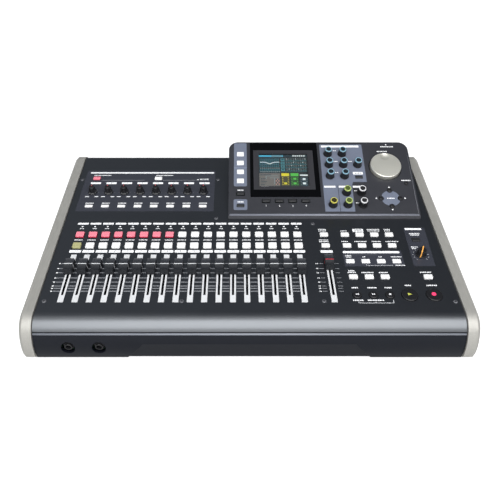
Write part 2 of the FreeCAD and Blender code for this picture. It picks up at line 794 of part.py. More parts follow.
def make_console_housing():
    body = new_body("console_housing")
    wall = size("console_wall")
    length = size("console_length")
    slope = math.radians(size("console_tilt"))
    rear_y = size("lip_y") + length * math.cos(slope)
    rear_z = size("rear_edge_z") + (rear_y - size("rear_edge_y")) * size("panel_sin") / size("panel_cos")
    lip_foot = on_console(size("lip_y") - size("lip_set_back"), size("lip_z") - size("lip_rise"))
    rear_foot = on_console(rear_y, rear_z)

    side = new_sketch(body, "side_view", "YZ_Plane")
    draw_line(side, (0, 0), (length, 0))
    draw_line(side, (length, 0), rear_foot)
    draw_line(side, rear_foot, lip_foot)
    draw_line(side, lip_foot, (0, 0))
    block = pad(body, side, "sizes.console_width", "block", symmetric=True)
    half = size("console_width") / 2
    names = edges_where(block, lambda point: close(point.y, length)
                        or close(point.y, rear_foot[0]), upright=True)
    block = round_edges(body, block, names, "sizes.console_corner", "rear_corners")
    # Space inside, left open below
    document.recompute([block])
    faces = block.Shape.Faces
    lowest = min(range(len(faces)), key=lambda index: faces[index].CenterOfMass.z)
    shell = body.newObject("PartDesign::Thickness", "shell")
    shell.Base = (block, [f"Face{lowest + 1}"])
    shell.setExpression("Value", "sizes.console_wall")
    shell.Mode = "Skin"
    shell.Join = "Intersection"
    shell.Reversed = True

    # Bosses that carry the console board
    bosses = new_sketch(body, "boss_plan", lift="-sizes.console_wall")
    draw_rectangles(bosses, [("-sizes.console_width / 2 + 8", "112"),
                             ("sizes.console_width / 2 - 8", "108"),
                             ("-sizes.console_width / 2 + 8", "26"),
                             ("sizes.console_width / 2 - 8", "10")],
                    "sizes.boss_width", "sizes.boss_width")
    pad(body, bosses, "sizes.board_depth - sizes.console_wall", "bosses", reverse=True)

    # Seat of the display window, with the opening for the screen
    def across(x):
        return f"({x}) - sizes.console_centre"

    seat = new_sketch(body, "window_plan")
    draw_rectangles(seat, [(across("sizes.window_centre"), "sizes.window_row")],
                    "sizes.window_width + 2 * sizes.fit_gap",
                    "sizes.window_length + 2 * sizes.fit_gap")
    pocket(body, seat, "sizes.window_wall", "window_seat")
    through = "2 * sizes.console_wall + 1"
    screen = new_sketch(body, "screen_plan")
    draw_rectangles(screen, [(across("sizes.screen_centre"), "sizes.screen_row")],
                    "sizes.module_width - 2 * sizes.screen_margin",
                    "sizes.module_length - 2 * sizes.screen_margin")
    pocket(body, screen, through, "screen_opening", symmetric=True)

    # Well of the wheel, and the round and square openings
    well = new_sketch(body, "well_plan")
    draw_rings(well, [(across("sizes.jog_centre"), "sizes.jog_row")],
               "sizes.jog_radius + 1.2", 36)
    pocket(body, well, "sizes.jog_well", "jog_well")
    shafts = list(ENCODERS.values()) + [("sizes.jog_centre", "sizes.jog_row")]
    shaft_hole = clear_of("sizes.shaft_radius", "sizes.shaft_clearance", 4)
    for name, places, radius, sides in (
            ("shaft", shafts, shaft_hole, 4),
            ("cursor", CURSOR_KEYS, "sizes.cursor_radius + sizes.key_gap", 12),
            ("jog_mode", JOG_KEY, "sizes.jog_key_radius + sizes.key_gap", 12)):
        for group in in_groups(places, 4 if sides == 4 else 1):
            holes = new_sketch(body, f"{name}_plan")
            draw_rings(holes, [(across(x), y) for x, y in group], radius, sides)
            pocket(body, holes, through, f"{name}_holes", symmetric=True)
    for name, places in (("side", SIDE_KEYS), ("slim", SLIM_KEYS)):
        keys = new_sketch(body, f"{name}_key_plan")
        draw_rectangles(keys, [(across(x), y) for x, y in places],
                        "sizes.menu_key_width + 2 * sizes.key_gap",
                        f"sizes.{name}_key_length + 2 * sizes.key_gap")
        pocket(body, keys, through, f"{name}_key_openings", symmetric=True)
    seat_on_console(body, "sizes.console_centre")
    return body


def make_display_window():
    body = new_body("display_window")
    plan = new_sketch(body, "plan", lift="-sizes.window_wall")
    draw_rectangles(plan, [("sizes.window_centre", "sizes.window_row")],
                    "sizes.window_width", "sizes.window_length")
    pad(body, plan, "sizes.window_wall", "pane")
    seat_on_console(body)
    return body


def make_screen_module():
    body = new_body("lcd_module")
    plan = new_sketch(body, "plan", lift="-sizes.board_depth")
    draw_rectangles(plan, [("sizes.screen_centre", "sizes.screen_row")],
                    "sizes.module_width", "sizes.module_length")
    pad(body, plan, "sizes.board_depth - sizes.console_wall - sizes.fit_gap", "module")
    seat_on_console(body)
    return body


# Moving controls

def make_fader(label, x, rest):
    body = new_body(label)
    half = size("cap_length") / 2
    low = size("cap_lift")
    top = low + size("cap_height")
    ridge = size("cap_ridge") / 2
    draft = 0.6
    crest = half - draft
    side = new_sketch(body, "side_view", "YZ_Plane")
    draw_line(side, (-half, low), (half, low))
    draw_line(side, (half, low), (crest, top))
    middle = (crest + ridge) / 2
    dip = top - size("cap_dip")
    draw_line(side, (crest, top), (middle, dip))
    draw_line(side, (middle, dip), (ridge, top))
    draw_line(side, (ridge, top), (-ridge, top))
    draw_line(side, (-ridge, top), (-middle, dip))
    draw_line(side, (-middle, dip), (-crest, top))
    draw_line(side, (-crest, top), (-half, low))
    pad(body, side, "sizes.cap_width", "cap", symmetric=True)
    stem = new_sketch(body, "stem_plan", lift="sizes.cap_lift")
    draw_rectangles(stem, [("0", "0")], "sizes.stem_width", "sizes.stem_length")
    pad(body, stem, "sizes.cap_lift + sizes.stem_reach", "stem", reverse=True)
    seat_on_panel(body, x, rest)
    return body


def make_knob(label, radius, height):
    """A knob with flats on its sides, on a shaft that stops above its potentiometer."""
    body = new_body(label)
    skirt = new_sketch(body, "skirt_plan", lift="sizes.knob_lift")
    draw_rings(skirt, [("0", "0")], radius, 12)
    pad(body, skirt, f"{height} - sizes.knob_lift", "grip")
    shaft = new_sketch(body, "shaft_plan", lift="sizes.knob_lift")
    draw_rings(shaft, [("0", "0")], "sizes.shaft_radius", 4)
    pad(body, shaft, "sizes.knob_lift + sizes.shaft_depth", "shaft", reverse=True)
    return body


def make_jog_wheel():
    body = new_body("jog_wheel")
    side = new_sketch(body, "side_view", "XZ_Plane")
    low = "sizes.fit_gap - sizes.jog_well"
    draw_polygon(side, [("0", low),
                        ("sizes.jog_radius", low),
                        ("sizes.jog_radius", "sizes.jog_height - 1.4"),
                        ("sizes.jog_radius - 1.4", "sizes.jog_height"),
                        ("0", "sizes.jog_height")])
    revolve(body, side, "wheel")

    # Finger dimple, a shallow bowl near the rim
    bowl = new_sketch(body, "bowl_view", "XZ_Plane", "-sizes.dimple_reach")
    depth = "sizes.jog_height - 1.9"
    brim = "sizes.jog_height + 0.5"
    draw_polygon(bowl, [("0", depth), ("sizes.dimple_radius * 0.4", depth),
                        ("sizes.dimple_radius * 1.15", brim), ("0", brim)])
    groove = body.newObject("PartDesign::Groove", "dimple")
    groove.Profile = bowl
    groove.ReferenceAxis = (bowl, ["V_Axis"])
    groove.Angle = 360
    shaft = new_sketch(body, "shaft_plan", lift=low)
    draw_rings(shaft, [("0", "0")], "sizes.shaft_radius", 4)
    pad(body, shaft, f"sizes.shaft_depth + {low}", "shaft", reverse=True)
    seat_on_console(body, "sizes.jog_centre", "sizes.jog_row")
    return body


def make_power_button():
    body = new_body("power_button")
    face = new_sketch(body, "face_view", "XZ_Plane")
    draw_rings(face, [("0", "0")], "sizes.switch_radius", 20)
    pad(body, face, "sizes.switch_reach + 8", "rod")
    body.Placement = Placement(Vector(), Rotation(Vector(1, 0, 0), 0))
    body.setExpression("Placement.Base.x", "sizes.switch_centre")
    body.setExpression("Placement.Base.y", "sizes.wall_y + sizes.switch_reach")
    body.setExpression("Placement.Base.z", "sizes.socket_height")
    return body


# Keys: each row is one body of separate keys, and rows that share a board share a node

def add_key(body, name, draw, places, cap_sizes):
    """One set of keys: a straight stem down to the board and a bevelled top."""
    features = []
    for group in in_groups(places, 7 if draw is draw_rectangles else 1):
        low = new_sketch(body, f"{name}_plan", lift="sizes.key_rise - sizes.key_bevel")
        draw(low, group, *cap_sizes)
        stem = pad(body, low, "sizes.key_rise - sizes.key_bevel + sizes.key_depth",
                   f"{name}_stem", reverse=True)
        high = new_sketch(body, f"{name}_top_plan", lift="sizes.key_rise - sizes.key_bevel")
        draw(high, group, *cap_sizes)
        top = pad(body, high, "sizes.key_bevel", f"{name}_top")
        top.setExpression("TaperAngle", "sizes.key_slope")
        features += [stem, top]
    return features


def make_key_row(label, row):
    body = new_body(label)
    features = add_key(body, "key", draw_rectangles, [("sizes.channel_start", f"-{row}")],
                       ("sizes.channel_key_width", "sizes.channel_key_length"))
    repeat(body, features, "sizes.channel_count", "sizes.channel_pitch")
    seat_on_panel(body)
    return body


def make_panel_keys():
    menu = new_body("menu_key_set")
    add_key(menu, "menu", draw_rectangles, MENU_KEYS,
            ("sizes.menu_key_width", "sizes.menu_key_length"))
    seat_on_panel(menu)
    power = new_body("power_key_set")
    add_key(power, "power", draw_rectangles, POWER_KEYS,
            ("sizes.menu_key_width", "sizes.power_length"))
    seat_on_panel(power)
    source = new_body("source_key_set")
    features = add_key(source, "source", draw_rectangles,
                       [("sizes.input_start", "-sizes.source_row")],
                       ("sizes.menu_key_width", "sizes.source_length"))
    repeat(source, features, "sizes.input_count", "sizes.input_pitch")
    seat_on_panel(source)
    return gather("panel_keys", [menu, power, source])


def make_transport_keys():
    small = new_body("small_transport_set")
    add_key(small, "small", draw_rings, SMALL_TRANSPORT, ("sizes.small_round_radius", 16))
    seat_on_panel(small)
    large = new_body("large_transport_set")
    add_key(large, "large", draw_rings, LARGE_TRANSPORT, ("sizes.large_round_radius", 20))
    seat_on_panel(large)
    return gather("transport_keys", [small, large])


def make_console_keys():
    sets = []
    for name, draw, places, cap in (
            ("side", draw_rectangles, SIDE_KEYS,
             ("sizes.menu_key_width", "sizes.side_key_length")),
            ("slim", draw_rectangles, SLIM_KEYS,
             ("sizes.menu_key_width", "sizes.slim_key_length")),
            ("cursor", draw_rings, CURSOR_KEYS, ("sizes.cursor_radius", 12)),
            ("jog_mode", draw_rings, JOG_KEY, ("sizes.jog_key_radius", 12))):
        body = new_body(f"{name}_key_set")
        add_key(body, name, draw, places, cap)
        seat_on_console(body)
        sets.append(body)
    return gather("console_keys", sets)


def gather(label, members):
    group = document.addObject("Part::Compound", label)
    group.Label = label
    group.Links = members
    return group


# Inside: boards, potentiometers and sockets

def make_circuit_boards():
    key_board = new_body("key_board")
    plan = new_sketch(key_board, "plan", lift="-sizes.board_depth")
    edge = "sizes.inner_width / 2 - 3.5"
    draw_polygon(plan, [(f"-({edge})", "-42"), ("-30", "-42"), ("-30", "-(sizes.console_foot + 5)"),
                        (edge, "-(sizes.console_foot + 5)"), (edge, "-284"), (f"-({edge})", "-284")])
    pad(key_board, plan, "sizes.board_wall", "board", reverse=True)
    seat_on_panel(key_board)

    console_board = new_body("console_board")
    plan = new_sketch(console_board, "plan", lift="-sizes.board_depth")
    reach = "sizes.console_width / 2 - 4.6"
    draw_polygon(plan, [(f"-({reach})", "6"), (reach, "6"), (reach, "116"), (f"-({reach})", "116")])
    pad(console_board, plan, "sizes.board_wall", "board", reverse=True)
    seat_on_console(console_board, "sizes.console_centre")

    main_board = new_body("main_board")
    plan = new_sketch(main_board, "plan", lift="sizes.main_board_height")
    draw_polygon(plan, [("-225", "-60"), ("225", "-60"), ("225", "sizes.wall_inside - 6"),
                        ("-225", "sizes.wall_inside - 6")])
    pad(main_board, plan, "sizes.board_wall", "board")

    socket_board = new_body("socket_board")
    under = "sizes.front_jack_height - sizes.jack_width / 2"
    plan = new_sketch(socket_board, "plan", lift=under)
    middle = "sizes.front_jack_start + sizes.front_jack_pitch / 2"
    draw_rectangles(plan, [(middle, "sizes.front_face + 25")], "64", "34")
    pad(socket_board, plan, "sizes.board_wall", "board", reverse=True)
    return gather("circuit_boards", [key_board, console_board, main_board, socket_board])


def make_slide_pots():
    body = new_body("slide_pot_set")
    block = new_sketch(body, "block_plan", lift="-sizes.board_depth")
    height = "sizes.board_depth - sizes.stem_reach - sizes.fit_gap"
    draw_rectangles(block, [("sizes.channel_start", "-sizes.fader_middle")],
                    "sizes.slide_body_width", "sizes.slide_body_length")
    case = pad(body, block, height, "case")
    repeat(body, [case], "sizes.channel_count", "sizes.channel_pitch")
    seat_on_panel(body)
    master = new_body("master_pot")
    block = new_sketch(master, "block_plan", lift="-sizes.board_depth")
    draw_rectangles(block, [("0", "0")], "sizes.slide_body_width", "sizes.slide_body_length")
    pad(master, block, height, "case")
    seat_on_panel(master, "sizes.master_column", "sizes.fader_middle")
    return [body, master]


def make_potentiometers():
    members = make_slide_pots()
    trims = new_body("trim_pot_set")
    plan = new_sketch(trims, "plan", lift="-sizes.board_depth")
    draw_rectangles(plan, [("sizes.input_start", "-sizes.trim_row")],
                    "sizes.pot_body", "sizes.pot_body")
    case = pad(trims, plan, "sizes.pot_height", "case")
    repeat(trims, [case], "sizes.input_count", "sizes.input_pitch")
    seat_on_panel(trims)
    phones = new_body("phones_pot")
    plan = new_sketch(phones, "plan", lift="-sizes.board_depth")
    draw_rectangles(plan, [(RECORD_COLUMN, "-sizes.phones_row")],
                    "sizes.pot_body", "sizes.pot_body")
    pad(phones, plan, "sizes.pot_height", "case")
    seat_on_panel(phones)
    encoders = new_body("encoder_pot_set")
    plan = new_sketch(encoders, "plan", lift="-sizes.board_depth")
    places = list(ENCODERS.values()) + [("sizes.jog_centre", "sizes.jog_row")]
    draw_rectangles(plan, places, "sizes.pot_body", "sizes.pot_body")
    pad(encoders, plan, "sizes.pot_height", "case")
    seat_on_console(encoders)
    switch = new_body("switch_case")
    face = new_sketch(switch, "face_view", "XZ_Plane",
                      "-(sizes.wall_y - 8 - sizes.switch_travel - sizes.fit_gap)")
    top = "sizes.socket_height + 6"
    base = "sizes.main_board_height + sizes.board_wall"
    draw_polygon(face, [("sizes.switch_centre - 6", base), ("sizes.switch_centre + 6", base),
                        ("sizes.switch_centre + 6", top), ("sizes.switch_centre - 6", top)])
    pad(switch, face, "12", "case")
    return gather("potentiometers", members + [trims, phones, encoders, switch])


def make_jack(label, x, height, face, set_back):
    """A threaded plug socket along Y: case inside, bush and nut outside, face at Y."""
    body = new_body(label)
    case = new_sketch(body, "case_view", "XZ_Plane")
    draw_rectangles(case, [("0", "0")], "sizes.jack_width", "sizes.jack_width")
    pad(body, case, "sizes.jack_depth", "case")
    bush = new_sketch(body, "bush_view", "XZ_Plane")
    draw_rings(bush, [("0", "0")], "sizes.bush_radius", 12)
    pad(body, bush, "sizes.bush_reach + sizes.sheet_wall", "bush", reverse=True)
    nut = new_sketch(body, "nut_view", "XZ_Plane", "-sizes.sheet_wall")
    draw_rings(nut, [("0", "0")], "sizes.nut_radius", 6)
    pad(body, nut, "sizes.nut_wall", "nut", reverse=True)
    bore = new_sketch(body, "bore_view", "XZ_Plane", "-sizes.sheet_wall - sizes.bush_reach")
    draw_circles(bore, [("0", "0")], "sizes.plug_bore")
    pocket(body, bore, "sizes.plug_depth", "bore", reverse=True)
    body.Placement = Placement(Vector(), Rotation(Vector(0, 0, 1), set_back))
    body.setExpression("Placement.Base.x", x)
    body.setExpression("Placement.Base.y", face)
    body.setExpression("Placement.Base.z", height)
    return body


def add_flanged_case(body, places, flange_width, flange_height, case_width, case_height,
                     depth="sizes.jack_depth"):
    """A case that reaches in through the rear wall from a flange on its outer face."""
    flange = new_sketch(body, "flange_view", "XZ_Plane", "-sizes.wall_y - sizes.flange_wall")
    draw_rectangles(flange, places, flange_width, flange_height)
    plate = pad(body, flange, "sizes.flange_wall", "flange")
    case = new_sketch(body, "case_view", "XZ_Plane", "-sizes.wall_y")
    draw_rectangles(case, places, case_width, case_height)
    block = pad(body, case, depth, "case")
    return [plate, block]


def make_jack_row(label, start, pitch, count, *sizes_of_case):
    body = new_body(label)
    places = [(start, "sizes.socket_height")]
    features = add_flanged_case(body, places, *sizes_of_case)
    bore = new_sketch(body, "bore_view", "XZ_Plane", "-sizes.wall_y - sizes.flange_wall")
    draw_circles(bore, places, "sizes.plug_bore")
    hole = pocket(body, bore, "sizes.plug_depth", "bore", reverse=True)
    repeat(body, [*features, hole], count, pitch)
    return body


def make_jack_sockets():
    members = [make_jack_row("combo_jack_set", "sizes.combo_start", "sizes.combo_pitch",
                             "sizes.combo_count", "sizes.combo_pitch - sizes.seam_gap",
                             "sizes.flange_height", "sizes.combo_width", "sizes.combo_height"),
               make_jack_row("line_jack_set", "sizes.line_start", "sizes.line_pitch",
                             "sizes.line_count", "sizes.line_pitch - sizes.seam_gap",
                             "sizes.flange_height", "sizes.jack_width", "sizes.jack_width")]
    for index in range(2):
        members.append(make_jack(f"front_jack_{index + 1}",
                                 column("sizes.front_jack_start", "sizes.front_jack_pitch", index),
                                 "sizes.front_jack_height",
                                 "sizes.front_face + sizes.front_jack_set_back", 180))
    return gather("jack_sockets", members)


def make_line_sockets():
    members = []
    height = "sizes.socket_height"
    outer = "-sizes.wall_y - sizes.flange_wall"
    for index in range(2):
        x = column("sizes.phono_start", "sizes.phono_pitch", index)
        body = new_body(f"phono_{index + 1}")
        add_flanged_case(body, [(x, height)], "sizes.phono_pitch - sizes.seam_gap",
                         "sizes.flange_height", "sizes.phono_case", "sizes.phono_case", "14")
        view = new_sketch(body, "barrel_view", "XZ_Plane", outer)
        draw_rings(view, [(x, height)], "sizes.phono_radius", 12)
        pad(body, view, "sizes.phono_reach - sizes.flange_wall", "barrel", reverse=True)
        view = new_sketch(body, "bore_view", "XZ_Plane", "-sizes.wall_y - sizes.phono_reach")
        draw_circles(view, [(x, height)], "sizes.phono_bore")
        pocket(body, view, "14", "bore", reverse=True)
        members.append(body)
    for index in range(2):
        x = column("sizes.ring_start", "sizes.ring_pitch", index)
        body = new_body(f"ring_socket_{index + 1}")
        add_flanged_case(body, [(x, height)], "sizes.ring_pitch - sizes.seam_gap",
                         "sizes.flange_height", "sizes.ring_case", "sizes.ring_case", "14")
        view = new_sketch(body, "bore_view", "XZ_Plane", outer)
        draw_rings(view, [(x, height)], "sizes.ring_bore", 12)
        draw_rings(view, [(x, height)], "sizes.ring_core", 12)
        pocket(body, view, "sizes.ring_depth", "bore", reverse=True)
        members.append(body)
    data = new_body("data_socket")
    add_flanged_case(data, [("sizes.data_centre", height)], "sizes.ring_pitch - sizes.seam_gap",
                     "sizes.flange_height", "sizes.data_width + 2", "sizes.data_height + 2", "16")
    view = new_sketch(data, "bore_view", "XZ_Plane", outer)
    draw_rectangles(view, [("sizes.data_centre", height)], "sizes.data_width", "sizes.data_height")
    pocket(data, view, "9 + sizes.flange_wall", "bore", reverse=True)
    members.append(data)
    supply = new_body("supply_socket")
    case = new_sketch(supply, "case_view", "XZ_Plane", "-sizes.wall_inside")
    draw_rectangles(case, [("sizes.supply_centre", height)], "12", "12")
    pad(supply, case, "14", "case")
    view = new_sketch(supply, "barrel_view", "XZ_Plane", "-sizes.wall_inside")
    draw_rings(view, [("sizes.supply_centre", height)], "sizes.supply_radius", 16)
    pad(supply, view, "sizes.sheet_wall + 0.5", "barrel", reverse=True)
    view = new_sketch(supply, "bore_view", "XZ_Plane", "-sizes.wall_y - 0.5")
    draw_rings(view, [("sizes.supply_centre", height)], "sizes.supply_bore", 10)
    draw_rings(view, [("sizes.supply_centre", height)], "sizes.supply_pin", 6)
    pocket(supply, view, "9", "bore", reverse=True)
    members.append(supply)
    return gather("line_sockets", members)


def make_feet():
    body = new_body("feet")
    plan = new_sketch(body, "plan")
    x = "sizes.case_width / 2 - sizes.foot_inset_x"
    y = "sizes.case_depth / 2 - sizes.foot_inset_y"
    draw_rings(plan, [(f"-({x})", f"-({y})"), (x, f"-({y})"), (f"-({x})", y), (x, y)],
               "sizes.foot_radius", 16)
    pad(body, plan, "sizes.foot_height", "pads")
    return body


# The recorder, piece by piece

parts = [make_top_panel(), make_front_panel(), make_cheek("left_cheek", -1),
         make_cheek("right_cheek", 1), make_chassis_tray(), make_console_housing(),
         make_display_window(), make_screen_module()]

for index in range(int(size("channel_count"))):
    parts.append(make_fader(f"channel_fader_{index + 1:02d}",
                            column("sizes.channel_start", "sizes.channel_pitch", index),
                            "sizes.fader_rest"))
parts.append(make_fader("master_fader", "sizes.master_column", "sizes.master_rest"))

for index in range(int(size("input_count"))):
    knob = make_knob(f"trim_knob_{index + 1}", "sizes.trim_radius",
                     "sizes.trim_height")
    seat_on_panel(knob, column("sizes.input_start", "sizes.input_pitch", index), "sizes.trim_row")
    parts.append(knob)

for name, (x, reach) in ENCODERS.items():
    knob = make_knob(name, "sizes.encoder_radius", "sizes.encoder_height")
    seat_on_console(knob, x, reach)
    parts.append(knob)

phones_knob = make_knob("phones_knob", "sizes.phones_radius", "sizes.phones_height")
seat_on_panel(phones_knob, RECORD_COLUMN, "sizes.phones_row")

parts += [phones_knob, make_jog_wheel(), make_power_button(),
          make_key_row("rec_keys", "sizes.arm_row"),
          make_key_row("select_keys", "sizes.select_row"),
          make_panel_keys(), make_transport_keys(), make_console_keys(),
          make_circuit_boards(), make_potentiometers(), make_jack_sockets(),
          make_line_sockets(), make_feet()]

document.recompute()

for item in document.Objects:
    if "Invalid" in item.State or "Error" in item.State:
        raise RuntimeError(f"{item.Label} did not build: {item.State}")
for part in parts:
    if part.Shape.isNull() or not part.Shape.isValid():
        raise RuntimeError(f"{part.Label} has no valid shape")

os.makedirs("parts", exist_ok=True)
for part in parts:
    part.Shape.exportStep(f"parts/{part.Label}.step")
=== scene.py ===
import math

import bpy
from mathutils import Matrix, Vector


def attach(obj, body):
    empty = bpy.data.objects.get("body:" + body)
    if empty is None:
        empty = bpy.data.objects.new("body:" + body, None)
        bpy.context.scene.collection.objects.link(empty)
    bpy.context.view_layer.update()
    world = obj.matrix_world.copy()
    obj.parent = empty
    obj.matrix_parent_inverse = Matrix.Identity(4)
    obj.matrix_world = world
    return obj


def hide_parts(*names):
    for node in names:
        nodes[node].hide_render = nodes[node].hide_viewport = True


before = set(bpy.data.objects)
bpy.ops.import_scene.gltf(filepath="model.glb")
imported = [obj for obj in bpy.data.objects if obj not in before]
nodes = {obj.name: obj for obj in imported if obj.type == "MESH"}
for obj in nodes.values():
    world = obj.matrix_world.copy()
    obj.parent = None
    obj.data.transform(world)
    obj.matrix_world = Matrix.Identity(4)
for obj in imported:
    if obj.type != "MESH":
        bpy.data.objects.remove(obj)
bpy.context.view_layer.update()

MM = 0.001


def sloped(y, z, degrees):
    """A surface across the object that leans back by some degrees."""
    return Matrix.Translation((0, y, z)) @ Matrix.Rotation(math.radians(degrees), 4, "X")


# Places on a surface are in millimetres: across, up the slope and out of the surface.
PANEL = sloped(0.1544042, 0.0685948, 3.7)
CONSOLE = sloped(0.0188914, 0.0637022, 18.7)
SEAM = sloped(-0.15973, 0.0382, 57)
FASCIA_Y = -0.1617
REAR_WALL_Y = 0.1579914
FRONT = Matrix(((1, 0, 0, 0), (0, 0, -1, FASCIA_Y), (0, 1, 0, 0), (0, 0, 0, 1)))
REAR = Matrix(((-1, 0, 0, 0), (0, 0, 1, REAR_WALL_Y), (0, 1, 0, 0), (0, 0, 0, 1)))

CHANNEL_PITCH = 16.5
CHANNELS = [-216.7 + CHANNEL_PITCH * k for k in range(18)]
INPUTS = [-216.6 + 22.2 * k for k in range(8)]
MASTER_X = 98.0
TRIM_Y = -82.0
TRANSPORT_Y = -270
PHONES_KNOB = (214.4, -205.0)
JOG_WHEEL = (193.4, 81.4)
CURSOR_PAD = (194.2, 28.4)
CURSOR_KEY_REACH = 13.1
FOUR_WAYS = ((1, 0), (-1, 0), (0, 1), (0, -1))


# Materials

def srgb(*rgb):
    """A colour as Blender's linear values, from its usual values of 0 to 255."""
    out = []
    for value in rgb:
        value /= 255
        out.append(value / 12.92 if value <= 0.04045 else ((value + 0.055) / 1.055) ** 2.4)
    return (*out, 1)


def wire(tree, source, socket):
    """Links an output to a socket, or sets the socket to a constant."""
    if isinstance(source, bpy.types.NodeSocket):
        tree.links.new(source, socket)
    else:
        socket.default_value = source


def calculate(tree, operation, *sources):
    """The output of a math node."""
    node = tree.nodes.new("ShaderNodeMath")
    node.operation = operation
    for source, socket in zip(sources, node.inputs):
        wire(tree, source, socket)
    return node.outputs["Value"]


def ranged(tree, value, from_low, from_high, to_low, to_high):
    """The output of a node that maps one range of a value to another."""
    node = tree.nodes.new("ShaderNodeMapRange")
    for source, socket in ((value, "Value"), (from_low, "From Min"), (from_high, "From Max"),
                           (to_low, "To Min"), (to_high, "To Max")):
        wire(tree, source, node.inputs[socket])
    return node.outputs["Result"]


FINE_SHARE = 0.6
BROAD_SHARE = 0.4
BROAD_SCALE = 40
GRAIN_LOW = 0.3
GRAIN_HIGH = 0.7
RELIEF_DEPTH = 0.0002
COAT_ROUGHNESS = 0.08


def finish(name, colour, rough=0.5, metal=0.0, grain=1500.0, bump=0.05, vary=0.06,
           spread=0.08, coat=0.0, stretch=(1, 1, 1), glow=0.0, specular=0.5, soft_edge=0.0,
           transmission=0.0, index=1.5, tint=None):
    """A surface finish with fine grain, uneven gloss and a little change of tone."""
    material = bpy.data.materials.new(name)
    material.use_nodes = True
    tree = material.node_tree
    shader = tree.nodes["Principled BSDF"]
    place = tree.nodes.new("ShaderNodeTexCoord")
    scale = tree.nodes.new("ShaderNodeMapping")
    scale.inputs["Scale"].default_value = stretch
    wire(tree, place.outputs["Object"], scale.inputs["Vector"])

    def noise(density, detail):
        node = tree.nodes.new("ShaderNodeTexNoise")
        node.inputs["Scale"].default_value = density
        node.inputs["Detail"].default_value = detail
        wire(tree, scale.outputs["Vector"], node.inputs["Vector"])
        return node.outputs["Fac"]

    fine = noise(grain, detail=3)
    broad = calculate(tree, "MULTIPLY", noise(grain / BROAD_SCALE, detail=4),
                      BROAD_SHARE)
    both = calculate(tree, "MULTIPLY_ADD", fine, FINE_SHARE, broad)
    shade = tree.nodes.new("ShaderNodeVectorMath")
    shade.operation = "SCALE"
    shade.inputs[0].default_value = colour[:3]
    wire(tree, ranged(tree, both, GRAIN_LOW, GRAIN_HIGH, 1 - vary, 1 + vary),
         shade.inputs["Scale"])
    wire(tree, shade.outputs["Vector"], shader.inputs["Base Color"])
    wire(tree, ranged(tree, both, GRAIN_LOW, GRAIN_HIGH, max(rough - spread, 0.02),
                      min(rough + spread, 1)), shader.inputs["Roughness"])
    relief = tree.nodes.new("ShaderNodeBump")
    relief.inputs["Strength"].default_value = bump
    relief.inputs["Distance"].default_value = RELIEF_DEPTH
    wire(tree, fine, relief.inputs["Height"])
    if soft_edge:
        edge = tree.nodes.new("ShaderNodeBevel")
        edge.samples = 4
        edge.inputs["Radius"].default_value = soft_edge
        wire(tree, edge.outputs["Normal"], relief.inputs["Normal"])
    wire(tree, relief.outputs["Normal"], shader.inputs["Normal"])
    for socket, value in (("Metallic", metal), ("Specular IOR Level", specular),
                          ("IOR", index), ("Coat Weight", coat),
                          ("Coat Roughness", COAT_ROUGHNESS),
                          ("Transmission Weight", transmission)):
        shader.inputs[socket].default_value = value
    if tint:
        shader.inputs["Specular Tint"].default_value = tint
    if glow:
        shader.inputs["Emission Color"].default_value = colour
        shader.inputs["Emission Strength"].default_value = glow
    return material


BLUISH = (0.9, 0.945, 1.0, 1.0)

